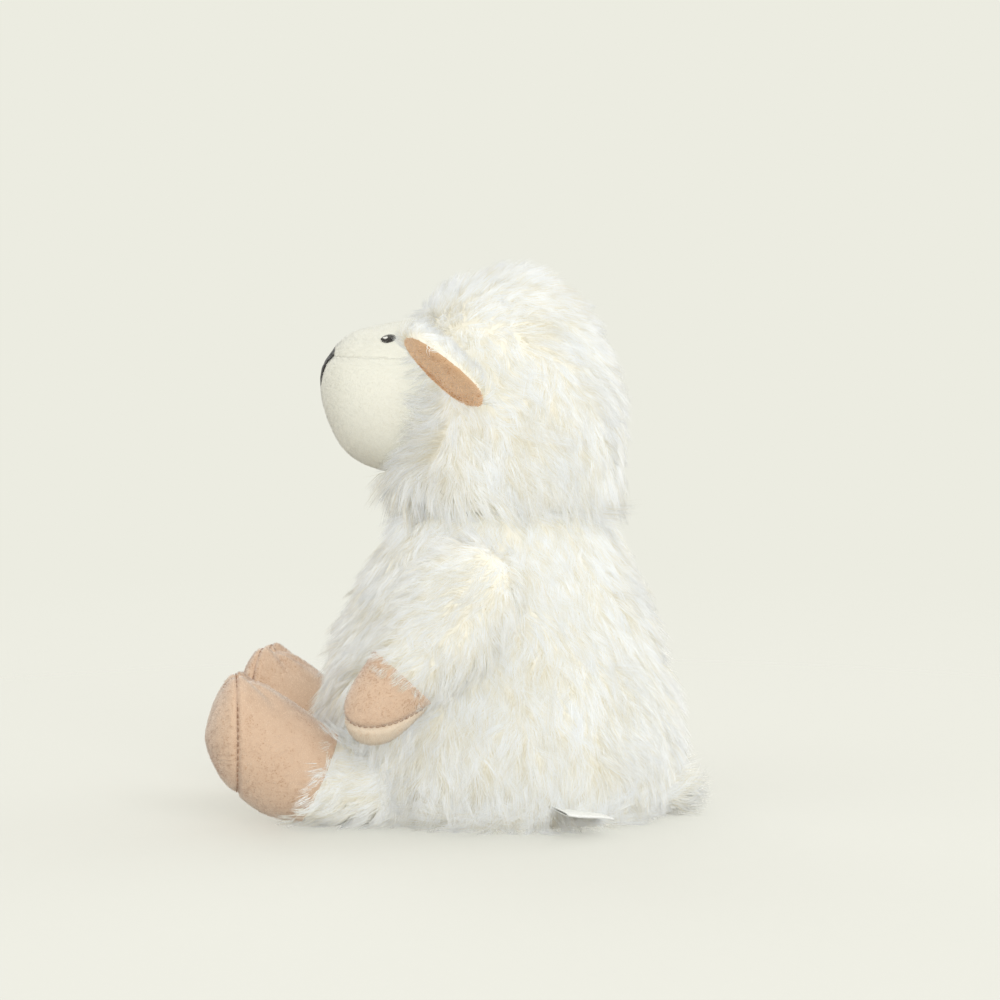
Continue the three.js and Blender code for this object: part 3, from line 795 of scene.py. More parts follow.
def material_of(name: str, wire: Callable[[Tree, bpy.types.Node], None]) -> bpy.types.Material:
    """Gives a material, wired at its first use.

    Args:
        name: name of the material.
        wire: lays the nodes of a new one, from its tree and its surface.

    Returns:
        The material.
    """
    made = bpy.data.materials.get(name)
    if not made:
        made = bpy.data.materials.new(name)
        made.use_nodes = True
        wire(Tree(made.node_tree), made.node_tree.nodes["Principled BSDF"])
    return made


@dataclass(frozen=True)
class Fibres:
    """A finish of fibres, as of long pile or short plush.

    Attributes:
        name: name of the material.
        slot: slot of the record; not used.
        root: colour at the roots, darker and warmer than the tip as painted shade deep in the pile.
        middle: colour half way.
        tip: colour at the tips.
        deep: tint of the darker strands, whose darkness is random tone and painted shade at the edges of
            locks.
        roughness: roughness of the fibres.
        sheen: strength of their sheen.
        through: share of the light that passes through them.
    """

    name: str
    slot: Slot
    root: str
    middle: str
    tip: str
    deep: str
    roughness: float = 0.8
    sheen: float = 0.15
    through: float = 0

    def wire(self, tree: Tree, surface: bpy.types.Node) -> None:
        """Lays the nodes of the finish.

        Args:
            tree: the tree of its material.
            surface: the surface shader in it.
        """
        colours = {"Root": self.root, "Middle": self.middle, "Tip": self.tip, "Deep": self.deep}
        fibre = tree.add("ShaderNodeGroup", node_tree=fibre_shade())
        tree.feed(fibre, {name: shade(code) for name, code in colours.items()})
        tree.feed(surface, {"Base Color": fibre.outputs["Colour"], "Roughness": self.roughness,
                            "Sheen Weight": self.sheen, "Specular IOR Level": 0.25})
        if self.through:
            passed = tree.add("ShaderNodeBsdfTranslucent", {0: fibre.outputs["Colour"]})
            tree.blend("Material Output", self.through, surface.outputs[0], passed.outputs[0])


@dataclass(frozen=True)
class Plain:
    """A finish with a fine grain on Object coordinates.

    Attributes:
        name: name of the material.
        slot: slot of the record; not used.
        colour: its colour.
        grain: colour between the grains.
        size: grains for each metre.
        roughness: its roughness.
        bump: height of the grain in millimetres.
    """

    name: str
    slot: Slot
    colour: str
    grain: str
    size: float = 600
    roughness: float = 0.85
    bump: float = 0.15

    def wire(self, tree: Tree, surface: bpy.types.Node) -> None:
        """Lays the nodes of the finish.

        Args:
            tree: the tree of its material.
            surface: the surface shader in it.
        """
        place = tree.add("ShaderNodeTexCoord").outputs["Object"]
        noise = tree.add("ShaderNodeTexNoise", {"Vector": place, "Scale": self.size, "Detail": 3.0})
        colour = tree.mix(tree.step(noise.outputs[0], 0.35, 0.65), shade(self.grain), shade(self.colour))
        bump = tree.add("ShaderNodeBump", {"Height": noise.outputs[0], "Distance": self.bump * MM})
        tree.feed(surface, {"Base Color": colour, "Normal": bump.outputs[0], "Roughness": self.roughness})


# Finishes, each with its slot of the record. In the fibre finishes the darker, warmer root colour is painted
# shade deep in the pile, and the deep tint is partly painted shade at the edges of locks.
WHITE_PILE = Fibres("white_pile", Slot.FUR, "f5f0e2", "fbfbf8", "fdfefe", "f2ecdc", through=0.08)
CREAM_PLUSH = Fibres("cream_nap", Slot.MUZZLE, "e1dfd3", "ecebe1", "f4f3ec", "f3eee1", 0.9, 0.2)
BEIGE_PLUSH = Fibres("beige_nap", Slot.BEIGE, "d2b59b", "e6cbb2", "f4e0cc", "dac6b5", 0.9, 0.5)
# The ear lining is the same beige cloth as the hands; this darker, more orange copy is painted light,
# standing for light that passes through the thin ear and bounces off the fur.
EAR_PAINTED_LIGHT_PLUSH = Fibres("ear_nap", Slot.BEIGE, "cfaa85", "e3bf99", "f0d3af", "d7bea5", 0.9, 0.5)
PALE_PLUSH = Fibres("pale_beige_nap", Slot.BEIGE, "dccab4", "ecdcc8", "f4e8d8", "eee0d0", 0.9, 0.3)
BLACK_THREAD = Plain("black_thread", Slot.THREAD, "2f2927", "1c1817", 2500, 0.45, 0.05)
WHITE_THREAD = Plain("white_thread", Slot.HIGHLIGHT, "f4f3ef", "d9d7cf", 2500, 0.5, 0.05)
BEIGE_THREAD = Plain("beige_thread", Slot.BEIGE, "a67c60", "8a6650", 2500, 0.7, 0.05)
TOE_THREAD = replace(BEIGE_THREAD, slot=Slot.THREAD)
MUZZLE_THREAD = Plain("cream_thread", Slot.MUZZLE, "dcd6c6", "c9c2b0", 2500, 0.7, 0.05)
LABEL_CLOTH = Plain("label_cloth", Slot.LABEL, "f3f3f0", "dcdcd8", 2200, 0.7, 0.05)
FILLING = Plain("white_filling", Slot.FILLING, "f4f3ee", "dddcd6", 300)
POUCH_CLOTH = Plain("pouch_weave", Slot.POUCH, "e9e4d6", "cfc8b6", 1500)
PELLETS = Plain("pouch_pellets", Slot.PELLETS, "cdb98f", "9d875c", 260)
CARRIED = {"pouch_upper_panel": POUCH_CLOTH, "pouch_lower_panel": POUCH_CLOTH, "pellet_fill": PELLETS}
LAMPS = (
    ("key_lamp", (2.1, 0.9, 1.2), 1.6, 33),
    ("front_lamp", (1.2, -1.7, 1.4), 1.8, 8),
    ("right_lamp", (-1.9, -0.9, 1.3), 2.0, 17),
    ("rear_lamp", (-1.2, 1.9, 1.2), 2.0, 15),
)


@dataclass
class Studio:
    """Camera, pale floor and backdrop, and the light.

    Attributes:
        azimuth: where the camera stands round the sheep, in degrees.
        elevation: how high it stands, in degrees.
        distance: its distance in metres.
        lens: its focal length in millimetres.
        aim: the point it looks at, in metres.
    """

    azimuth: float = 94
    elevation: float = 5
    distance: float = 1.6
    lens: float = 128
    aim: Vector = field(default_factory=lambda: Vector((0, -0.008, 0.1415)))

    def build(self) -> None:
        """Sets the camera, the floor and the light."""
        self.set_camera()
        bpy.ops.mesh.primitive_circle_add(vertices=64, radius=3, fill_type="NGON")
        floor = bpy.context.object
        floor.name = "floor"
        floor.data.materials.append(material_of("pale_floor", self.wire_floor))
        self.set_world()
        for name, place, size, power in LAMPS:
            bpy.ops.object.light_add(type="AREA", location=place)
            lamp = bpy.context.object
            lamp.name = name
            lamp.data.size = size
            lamp.data.energy = power
            lamp.data.color = (0.92, 0.965, 1.0)
            lamp.rotation_euler = (Vector(place) - UP * 0.1).to_track_quat("Z", "Y").to_euler()
        bpy.context.scene.view_settings.view_transform = "Standard"

    def set_camera(self) -> None:
        """Places the camera and makes it the scene's."""
        around, up = math.radians(self.azimuth), math.radians(self.elevation)
        back = Vector((math.sin(around) * math.cos(up), -math.cos(around) * math.cos(up), math.sin(up)))
        bpy.ops.object.camera_add(location=self.aim + back * self.distance)
        camera = bpy.context.object
        camera.rotation_euler = (-back).to_track_quat("-Z", "Y").to_euler()
        camera.data.lens = self.lens
        camera.data.sensor_width = 36
        bpy.context.scene.camera = camera

    def wire_floor(self, tree: Tree, surface: bpy.types.Node) -> None:
        """Lays the nodes of a floor that fades into the backdrop.

        Args:
            tree: the tree of its material.
            surface: the surface shader in it.
        """
        tree.feed(surface, {"Base Color": shade("dbdad4"), "Roughness": 0.9, "Specular IOR Level": 0.1})
        place = tree.add("ShaderNodeTexCoord").outputs["Object"]
        reach = tree.add("ShaderNodeVectorMath", {0: place}, operation="LENGTH").outputs["Value"]
        clear = tree.add("ShaderNodeBsdfTransparent")
        fade = tree.step(reach, 0.15, 1.0, 0.42, 1)
        tree.blend("Material Output", fade, surface.outputs[0], clear.outputs[0])

    def set_world(self) -> None:
        """Sets the soft light all round and the pale backdrop that the camera sees."""
        world = bpy.data.worlds.new("studio")
        bpy.context.scene.world = world
        world.use_nodes = True
        tree = Tree(world.node_tree)
        soft = world.node_tree.nodes["Background"]
        tree.feed(soft, {0: (1.0, 0.975, 0.905, 1), 1: 0.8})
        backdrop = tree.add("ShaderNodeBackground", {0: shade("ecece1"), 1: 1.0})
        path = tree.add("ShaderNodeLightPath")
        seen = path.outputs["Is Camera Ray"]
        for ray in ("Is Glossy Ray", "Is Transmission Ray"):
            both = tree.add("ShaderNodeMath", {0: seen, 1: path.outputs[ray]}, operation="MAXIMUM")
            seen = both.outputs[0]
        tree.blend("World Output", seen, soft.outputs[0], backdrop.outputs[0])


def dressed(piece: Obj, body: str, finish: Fibres | Plain, nodes: tuple[str, ...] = ()) -> None:
    """Gives a piece its finish and its body, and hides the CAD nodes that it stands for.

    Args:
        piece: the piece.
        body: body that it moves with.
        finish: its finish.
        nodes: CAD nodes that it replaces.
    """
    piece.data.materials.clear()
    piece.data.materials.append(material_of(finish.name, finish.wire))
    piece.visible_shadow = not isinstance(finish, Fibres)
    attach(piece, body)
    if nodes:
        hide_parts(*nodes)
    LOG.info("%s: %d faces", piece.name, len(piece.data.polygons))


def filling(form: Swelling, place: Matrix, inset: float, body: str, *cuts: tuple[Vector, Vector]) -> None:
    """Models the fibre filling of a body a little inside its skin.

    Args:
        form: the form of the skin.
        place: place of the form.
        inset: how far the filling lies inside the form, in millimetres.
        body: the body.
        cuts: point and normal of each plane that ends it.
    """
    made = form.model(f"{body}_filling_fibres", place, inset)
    for point, normal in cuts:
        cut(made, point, normal, True)
    dressed(made, body, FILLING, (f"{body}_filling",))


def pressed(skin: Obj, dip: Keep) -> None:
    """Draws a skin in along its normals.

    Args:
        skin: the skin.
        dip: gives the depth at places, all in millimetres.
    """
    places, facing = read(skin.data.vertices, "co"), read(skin.data.vertices, "normal")
    places -= facing * (dip(places / MM) * MM)[:, None]
    skin.data.vertices.foreach_set("co", places.ravel())
    skin.data.update()


def dropped(skin: Obj, spans: list[tuple[Vector, Vector]], steps: Array, out: Vector) -> tuple[Array, Array]:
    """Drops straight threads on a skin.

    Args:
        skin: the skin.
        spans: both ends of each thread, in millimetres.
        steps: shares along a thread at which points are wanted.
        out: direction from which they drop.

    Returns:
        The points of each thread on the skin in millimetres, and the skin's normals there.
    """
    hits = [[skin.ray_cast((start.lerp(end, step) + out * DROP) * MM, -out) for step in steps]
            for start, end in spans]
    return tuple(np.array([[tuple(hit[part]) for hit in line] for line in hits]) for part in (1, 2))


@dataclass(frozen=True)
class Seam:
    """A seam between two panels of a skin, sizes in millimetres.

    Attributes:
        name: name of what it belongs to.
        point: a point of its plane.
        normal: direction from the seam to the side that carries the stitches.
        length: length of a stitch.
        gap: room between stitches.
        width: half-width of the thread.
        sunk: how deep the stitches lie under the edge.
        dip: depth of the dip that the seam draws in the skin.
        spread: half-width of the dip.
        thread: finish of the thread.
    """

    name: str
    point: Vector
    normal: Vector
    length: float
    gap: float
    width: float
    sunk: float
    dip: float
    spread: float
    thread: Plain = BEIGE_THREAD

    def groove(self, skin: Obj) -> None:
        """Draws a skin in along the seam."""
        flat = np.array(self.normal.normalized())
        middle = np.array(self.point)
        pressed(skin, lambda places: self.dip * np.exp(-(((places - middle) @ flat / self.spread) ** 2)))

    def rim(self, panel: Obj) -> tuple[Array, Array]:
        """Finds the edge of a panel at the seam.

        Args:
            panel: the panel, cut open at the seam.

        Returns:
            The points of the edge in order, in millimetres, and the skin's normals there.
        """
        flat = self.normal.normalized()
        found = [v for v in panel.data.vertices if abs((v.co / MM - self.point).dot(flat)) < 0.01]
        centre = sum((v.co / MM for v in found), Vector()) / len(found)
        side = flat.orthogonal().normalized()
        other = flat.cross(side)
        found.sort(key=lambda v: math.atan2((v.co / MM - centre).dot(other), (v.co / MM - centre).dot(side)))
        return np.array([v.co / MM for v in found]), np.array([v.normal for v in found])

    def sew(self, panel: Obj, rod: Strand, body: str, keep: Keep | None) -> None:
        """Sews short stitches along the edge of a panel.

        Args:
            panel: the panel that carries them.
            rod: the modelled thread.
            body: body that they move with.
            keep: says which places are sewn, or None for all.
        """
        closed, facing = (np.vstack([rows, rows[:1]]) for rows in self.rim(panel))
        run = np.concatenate([[0], np.cumsum(np.linalg.norm(np.diff(closed, axis=0), axis=1))])

        def along(rows: Array, places: Array) -> Array:
            """Reads rows kept round the edge at places along it."""
            return np.stack([np.interp(places, run, rows[:, k]) for k in range(3)], axis=-1)

        count = int(run[-1] / (self.length + self.gap))
        starts = np.arange(count) * run[-1] / count
        if keep:
            starts = starts[keep(along(closed, starts))]
        lines = along(closed, (starts[:, None] + rod.steps[None] * self.length) % run[-1])
        out = unit(along(facing, starts))
        bow = np.sin(rod.steps * math.pi)[None, :, None]
        lines += out[:, None] * (bow * self.width * 1.4 - self.sunk)
        tone = np.full(len(starts), 0.5)
        dressed(rod.threads(f"{self.name}_seam_stitches", lines, out, self.width, tone), body, self.thread)

    def split(self, skin: Obj, kit: Kit, body: str, panels: tuple[tuple[str, int, Fibres], ...], comb: Comb,
              seed: int, keep: Keep | None = None, sewn: Keep | None = None,
              toward: Vector | None = None) -> None:
        """Cuts a skin into the panels on both sides of the seam, sews it and covers them with plush.

        Args:
            skin: the skin.
            kit: what the pieces share.
            body: body that the panels move with.
            panels: CAD node, side of the seam and finish of each panel.
            comb: gives the direction of the plush.
            seed: number that picks the fibres.
            keep: says which places grow fibres, or None for all.
            sewn: says which places of the seam are sewn, or None for all.
            toward: direction to which the fibres' shading leans, or None for none.
        """
        for number, (node, side, finish) in enumerate(panels):
            panel = panel_of(skin, node.removesuffix("_panel") + "_plush", (self.point, self.normal * side))
            if side == 1:
                self.sew(panel, kit.rod, body, sewn)
            fibres = kit.plush.grown(panel, kit.nap, comb, seed + 10 * number, keep, toward=toward)
            dressed(covered(panel, fibres), body, finish, (node,))


@dataclass
class Torso:
    """Body of the sheep: three upper panels, the seat panel, the tail tuft and the label.

    Attributes:
        front: reach to the front.
        back: reach to the back.
        half_width: half its width.
        pile_length: length of its pile.
        pile_height: how far the pile stands over the skin.
        filling_inset: how far the filling lies inside the form.
        seat_height: height of the seam of the seat panel.
        side_seam_back: how far behind the middle the side seams lie.
        tail_height: height of the middle of the tail.
        label_width: width of the label.
        label_length: how far the label stands out of its seam.
        label_sewn: how far it reaches into the seam.
        label_height: height of the label.
        label_turn: where the label sits round the body, in degrees.
    """

    front: float = 90
    back: float = 75
    half_width: float = 76
    pile_length: float = 17
    pile_height: float = 5
    filling_inset: float = 8.5
    seat_height: float = 6
    side_seam_back: float = 6
    tail_height: float = 11.5
    label_width: float = 22
    label_length: float = 15
    label_sewn: float = 3
    label_height: float = 11
    label_turn: float = 26

    def comb(self, points: Array, normals: Array) -> Array:
        """Combs the pile down, and outwards where it meets the floor or the neck.

        Args:
            points: places in millimetres.
            normals: the skin's normals there; not used.

        Returns:
            A direction for each place.
        """
        outward = unit(points * (1, 1, 0))
        low = smoothstep(26, 4, points[:, 2])[:, None]
        high = smoothstep(118, 132, points[:, 2])[:, None]
        down = np.array([-UP]) * (1 - 0.7 * low - 0.6 * high)
        return down + outward * (0.25 + 1.1 * low + 0.7 * high)

    def loft(self, points: Array) -> Array:
        """Lays the pile down under the neck."""
        return -30 * smoothstep(108, 126, points[:, 2])

    def outside(self, points: Array) -> Array:
        """Leaves the flat of the neck without pile."""
        return points[:, 2] < NECK_HEIGHT - 1.5

    def build(self, kit: Kit) -> None:
        """Cuts the skin into its panels, grows the pile on each and adds filling, tail and label.

        Args:
            kit: what the pieces share.
        """
        pile = Pile(self.pile_length)
        form = Swelling(scaled(TORSO_SHARES, NECK_HEIGHT, self.front, self.back, self.half_width), 32, 22)
        place = placing(UP, BACK, Vector())
        skin = form.model("torso_skin", place, self.pile_height)
        cut(skin, UP * (NECK_HEIGHT - 1), -UP, True)
        cut(skin, UP * 0.6, UP, True)
        seam, seat = BACK * self.side_seam_back, UP * self.seat_height
        panels = (
            ("torso_front", ((seat, UP), (seam, -BACK))),
            ("torso_back_left", ((seat, UP), (seam, BACK), (Vector(), LEFT))),
            ("torso_back_right", ((seat, UP), (seam, BACK), (Vector(), -LEFT))),
            ("seat", ((seat, -UP),)),
        )
        for number, (part, cuts) in enumerate(panels):
            panel = panel_of(skin, f"{part}_pile", *cuts)
            strands = pile.grown(panel, kit.strand, self.comb, 100 + 10 * number, self.outside,
                                 loft=self.loft, toward=UP * 0.5)
            dressed(covered(panel, strands), "torso", WHITE_PILE, (f"{part}_panel",))
        bpy.data.objects.remove(skin)
        filling(form, place, self.filling_inset, "torso", (UP * (NECK_HEIGHT - 4), -UP), (UP * 3.4, UP))
        self.build_tail(kit.strand, pile)
        self.build_label()

    def build_tail(self, strand: Strand, pile: Pile) -> None:
        """Models the tail tuft.

        Args:
            strand: the modelled strand.
            pile: the pile of the body.
        """
        rows = tuple((7 * b, *(r * math.sqrt(1 - b * b) for r in (-8, 8, 11))) for b in BALL_SHARES)
        centre = Vector((0, self.back - 7, self.tail_height))
        tuft = Swelling(rows, 16, 10).model("tail_pile", placing(UP, BACK, centre))

        def comb(points: Array, normals: Array) -> Array:
            """Combs the tuft outwards and backwards."""
            return unit(points - np.array(centre)) + np.array([[0, 1.2, 0]])

        strands = pile.grown(tuft, strand, comb, 170)
        dressed(covered(tuft, strands, 0), "torso", WHITE_PILE, ("tail_cover",))

    def build_label(self) -> None:
        """Folds the bare label loop that stands out of the left seam."""
        turn = math.radians(self.label_turn)
        out = Vector((math.cos(turn), math.sin(turn), 0))
        start = Vector((out.x * self.half_width * 0.88, out.y * self.back * 0.88, self.label_height))
        bpy.ops.mesh.primitive_plane_add(size=1)
        label = bpy.context.object
        label.name = label.data.name = "side_label_loop"
        with editing(label):
            bpy.ops.mesh.subdivide(number_cuts=15)
        long = self.label_length + self.label_sewn
        for vertex in label.data.vertices:
            share = vertex.co.x + 0.5
            across = vertex.co.y * self.label_width
            angle = math.pi * min(max((share - 0.46) / 0.08, 0), 1)
            reach = long * (1 - abs(2 * share - 1)) + 0.5 * math.sin(angle)
            droop = 0.6 * math.sin(across / 5) * reach / long - 0.2 * across
            vertex.co = (reach, across, droop + 0.55 * math.cos(angle))
        turned = Matrix((out, UP.cross(out), UP)).transposed().to_4x4()
        label.data.transform(Matrix.Scale(MM, 4) @ Matrix.Translation(start) @ turned)
        applied(label, "SOLIDIFY", thickness=0.25 * MM, offset=0)
        bpy.ops.object.shade_smooth()
        label.data.uv_layers[0].name = STRAND_MAP
        dressed(label, "torso", LABEL_CLOTH, ("side_label",))


@dataclass
class Head:
    """Head of the sheep: two covers of pile, the muzzle, the nose and the eyes.

    Attributes:
        height: height of the head over the neck.
        front: reach to the front.
        back: reach to the back.
        half_width: half its width.
        pile_length: length of its pile.
        pile_height: how far the pile stands over the skin.
        filling_inset: how far the filling lies inside the form.
        muzzle_reach: reach of the muzzle to the front.
        muzzle_middle: height of its middle.
        muzzle_drop: its reach below the middle.
        muzzle_rise: its reach above the middle.
        muzzle_half_width: half its width.
        seam_height: height of the seam between bridge and cheeks.
        nose_top: height of the top of the nose.
        nose_height: height of the nose.
        nose_half_width: half its width.
        nose_threads: threads side by side in the nose.
        eye: middle of the left eye.
        eye_radius: radius of the eye.
        highlight_radius: radius of its highlight.
    """

    height: float = 108
    front: float = 60
    back: float = 48
    half_width: float = 58
    pile_length: float = 15
    pile_height: float = 5
    filling_inset: float = 8.5
    muzzle_reach: float = 89
    muzzle_middle: float = 188
    muzzle_drop: float = 35
    muzzle_rise: float = 34
    muzzle_half_width: float = 38.5
    seam_height: float = 206.5
    nose_top: float = 209.5
    nose_height: float = 18.5
    nose_half_width: float = 12
    nose_threads: int = 47
    eye: Vector = field(default_factory=lambda: Vector((21, -56, 214)))
    eye_radius: float = 3.2
    highlight_radius: float = 0.9

    def comb(self, points: Array, normals: Array) -> Array:
        """Combs the pile away from the face, and down at the sides and the back.

        Args:
            points: places in millimetres.
            normals: the skin's normals there; not used.

        Returns:
            A direction for each place.
        """
        away = unit(points - np.array([0, -60, 190.0]))
        outward = unit(points * (1, 1, 0))
        low = smoothstep(238, 195, points[:, 2])[:, None]
        base = smoothstep(168, 142, points[:, 2])[:, None]
        face = self.by_face(points)[:, None]
        over = away * (0.8 - 1.1 * face) - np.array([BACK]) * 0.9 * face
        return over + np.array([-UP]) * low * (1.1 - 0.5 * face) + outward * base * 0.9

    def by_face(self, points: Array) -> Array:
        """Tells how near places lie to the muzzle, from 0 to 1."""
        high = 1 - 0.7 * smoothstep(205, 222, points[:, 2])
        return smoothstep(-18, -36, points[:, 1]) * smoothstep(150, 165, points[:, 2]) * high

    def trim(self, points: Array) -> Array:
        """Lengthens the pile over the neck, unevenly."""
        return 1 + smoothstep(178, 152, points[:, 2]) * (0.3 + 0.45 * ripple(points, 13, 230))

    def loft(self, points: Array) -> Array:
        """Stands the pile up over the neck and round the face."""
        return 16 * smoothstep(168, 145, points[:, 2]) + 24 * self.by_face(points)

    def outside(self, points: Array) -> Array:
        """Leaves the muzzle and the flat of the neck without pile.

        Args:
            points: places in millimetres.

        Returns:
            Whether pile grows at each place.
        """
        across = points[:, 0] / (self.muzzle_half_width - 1)
        up = (points[:, 2] - self.muzzle_middle) / (self.muzzle_rise - 1)
        face = (points[:, 1] < 0) & (across**2 + up**2 < 1)
        return ~face & (points[:, 2] > NECK_HEIGHT + 2)

    def muzzle_comb(self, points: Array, normals: Array) -> Array:
        """Combs the nap of the muzzle back and down."""
        return np.array([[0, 0.8, -0.6]]) + 0 * points

    def build(self, kit: Kit) -> None:
        """Builds the covers, the filling, the muzzle and the face.

        Args:
            kit: what the pieces share.
        """
        pile = Pile(self.pile_length)
        form = Swelling(scaled(HEAD_SHARES, self.height, self.front, self.back, self.half_width), 32, 20)
        place = placing(UP, BACK, UP * (NECK_HEIGHT + 0.3))
        skin = form.model("head_skin", place, self.pile_height)
        cut(skin, UP * (NECK_HEIGHT + 1.3), UP, True)
        for number, side in enumerate(Side):
            cover = panel_of(skin, f"head_{side.value}_pile", (Vector(), LEFT * side.sign))
            strands = pile.grown(cover, kit.strand, self.comb, 200 + 10 * number, self.outside, self.trim,
                                 self.loft, UP * 0.6)
            dressed(covered(cover, strands), "head", WHITE_PILE, (f"head_{side.value}_cover",))
        bpy.data.objects.remove(skin)
        filling(form, place, self.filling_inset, "head", (UP * (NECK_HEIGHT + 4), UP))
        self.build_muzzle(replace(kit, plush=replace(kit.plush, length=0.9, mottle=0.35, grain=0.1)))

    def build_muzzle(self, kit: Kit) -> None:
        """Builds the two panels of the muzzle with the seam between them, the nose and the eyes.

        Args:
            kit: what the pieces share, with the nap of the muzzle.
        """
        sizes = (self.muzzle_reach, self.muzzle_drop, self.muzzle_rise, self.muzzle_half_width)
        place = placing(-BACK, UP, UP * self.muzzle_middle)
        skin = Swelling(scaled(MUZZLE_SHARES, *sizes)).model("muzzle_skin", place, 0.5, 2)
        seam = Seam("muzzle", UP * self.seam_height, UP, 1.8, 0.9, 0.12, 0.25, 0.8, 1.6, MUZZLE_THREAD)
        seam.groove(skin)
        self.embroider(skin, kit.rod)
        panels = (("muzzle_upper_panel", 1, CREAM_PLUSH), ("muzzle_lower_panel", -1, CREAM_PLUSH))
        seam.split(skin, kit, "head", panels, self.muzzle_comb, 240, lambda p: p[:, 1] < -30,
                   lambda p: p[:, 1] < -34, UP * 0.2)
        bpy.data.objects.remove(skin)

    def embroider(self, skin: Obj, rod: Strand) -> None:
        """Stitches the nose, the eyes and their highlights on the skin of the muzzle.

        Args:
            skin: the skin of the muzzle.
            rod: the modelled thread.
        """
        rng = np.random.default_rng(260)
        columns = np.linspace(-1, 1, self.nose_threads)
        depth = np.interp(np.abs(columns), (0, 0.4, 0.85, 1), (1, 0.96, 0.72, 0.3)) * self.nose_height
        tops = self.nose_top - 2.6 * columns**4 + rng.uniform(-0.4, 0.6, len(columns))
        ends = self.nose_top - depth - rng.uniform(-0.5, 0.9, len(columns))
        spans = [tuple(Vector((x * self.nose_half_width, -self.muzzle_reach, z)) for z in (top, end))
                 for x, top, end in zip(columns, tops, ends)]
        nose = self.satin("nose_satin", skin, rod, spans, -BACK, 0.34, 0.75)
        dressed(nose, "head", BLACK_THREAD, ("nose_embroidery",))
        for side in Side:
            centre = self.eye * Vector((side.sign, 1, 1))
            out = Vector((centre.x, 0, centre.z - self.muzzle_middle)).normalized()
            across = out.cross(BACK).normalized()
            for kind, node, radius, finish, lift, shift in (
                ("eye", "eye", self.eye_radius, BLACK_THREAD, 0.55, 0),
                ("highlight", "eye_highlight", self.highlight_radius, WHITE_THREAD, 0.9, -1.2),
            ):
                spans = []
                for share in np.linspace(-0.96, 0.96, max(int(radius * 4), 5)):
                    half = across * (radius * math.sqrt(1 - share * share))
                    middle = centre + BACK * (shift + share * radius)
                    spans.append((middle - half, middle + half))
                made = self.satin(f"{side.value}_{kind}_satin", skin, rod, spans, out, 0.3, lift)
                dressed(made, "head", finish, (f"{side.value}_{node}",))

    def satin(self, name: str, skin: Obj, rod: Strand, spans: list[tuple[Vector, Vector]], out: Vector,
              width: float, lift: float) -> Obj:
        """Lays threads side by side on the muzzle.

        Args:
            name: name of the object.
            skin: the skin of the muzzle.
            rod: the modelled thread.
            spans: both ends of each thread.
            out: direction in which they face.
            width: half-width of a thread.
            lift: how far their middles lie over the skin.

        Returns:
            The threads.
        """
        places, normals = dropped(skin, spans, rod.steps, out)
        lines = places / MM + normals * lift * (0.15 + 0.85 * np.sin(math.pi * rod.steps))[None, :, None]
        tone = np.random.default_rng(7).random(len(spans))
        return rod.threads(name, lines, np.repeat([out[:]], len(spans), axis=0), width, tone)


@dataclass
class Ear:
    """One ear: back of pile and lining of plush.

    Attributes:
        side: side of the head.
        root: middle of its root on the left.
        chord: direction across the ear, from its front to its rear edge.
        facing: direction in which the lining faces.
        length: its length.
        half_width: half its width.
        half_thickness: half its thickness.
        pile_length: length of its pile.
        cloth: thickness of its cloth.
    """

    side: Side
    root: Vector = field(default_factory=lambda: Vector((55, -21, 194.5)))
    chord: Vector = field(default_factory=lambda: Vector((0.488, 0.77, -0.41)))
    facing: Vector = field(default_factory=lambda: Vector((0.28, -0.52, -0.807)))
    length: float = 50
    half_width: float = 19.5
    half_thickness: float = 5.2
    pile_length: float = 11
    cloth: float = 1

    def build(self, kit: Kit) -> None:
        """Builds both halves of the ear.

        Args:
            kit: what the pieces share.
        """
        out = self.facing.cross(self.chord).normalized()
        rows = scaled(EAR_SHARES, self.length, self.half_width, self.half_width, self.half_thickness)
        leaf = Swelling(rows, 24, 14).model("ear_skin", placing(out, self.chord, self.root), 0, 2)
        cut(leaf, self.root - out * 6, out, True)
        flip = Vector((self.side.sign, 1, 1))
        if self.side is Side.RIGHT:
            leaf.data.transform(Matrix.Scale(-1, 4, LEFT))
            leaf.data.flip_normals()
        facing, root, out = self.facing.normalized() * flip, self.root * flip, out * flip
        body = f"{self.side.value}_ear"
        seed = self.side.seed(300)
        outward = LEFT * self.side.sign

        def comb(points: Array, normals: Array) -> Array:
            """Combs the ear outwards and back, away from its lining."""
            return np.array([out * 0.8 - facing * 0.25 + BACK * 0.4]) + 0 * points

        seam = root + facing * 0.8
        lining = panel_of(leaf, f"{body}_lining_plush", (seam, facing))
        fibres = kit.plush.grown(lining, kit.nap, comb, seed, toward=UP * 1.4 + outward * 1.2)
        # The lining takes the beige copy with painted through-light.
        dressed(covered(lining, fibres, self.cloth), body, EAR_PAINTED_LIGHT_PLUSH, (f"{body}_lining",))
        back = panel_of(leaf, f"{body}_back_pile", (seam, -facing))
        pile = Pile(self.pile_length)
        strands = pile.grown(back, kit.strand, comb, seed + 20, toward=outward * 0.5 + UP * 0.3)
        dressed(covered(back, strands, self.cloth), body, WHITE_PILE, (f"{body}_back",))
        bpy.data.objects.remove(leaf)


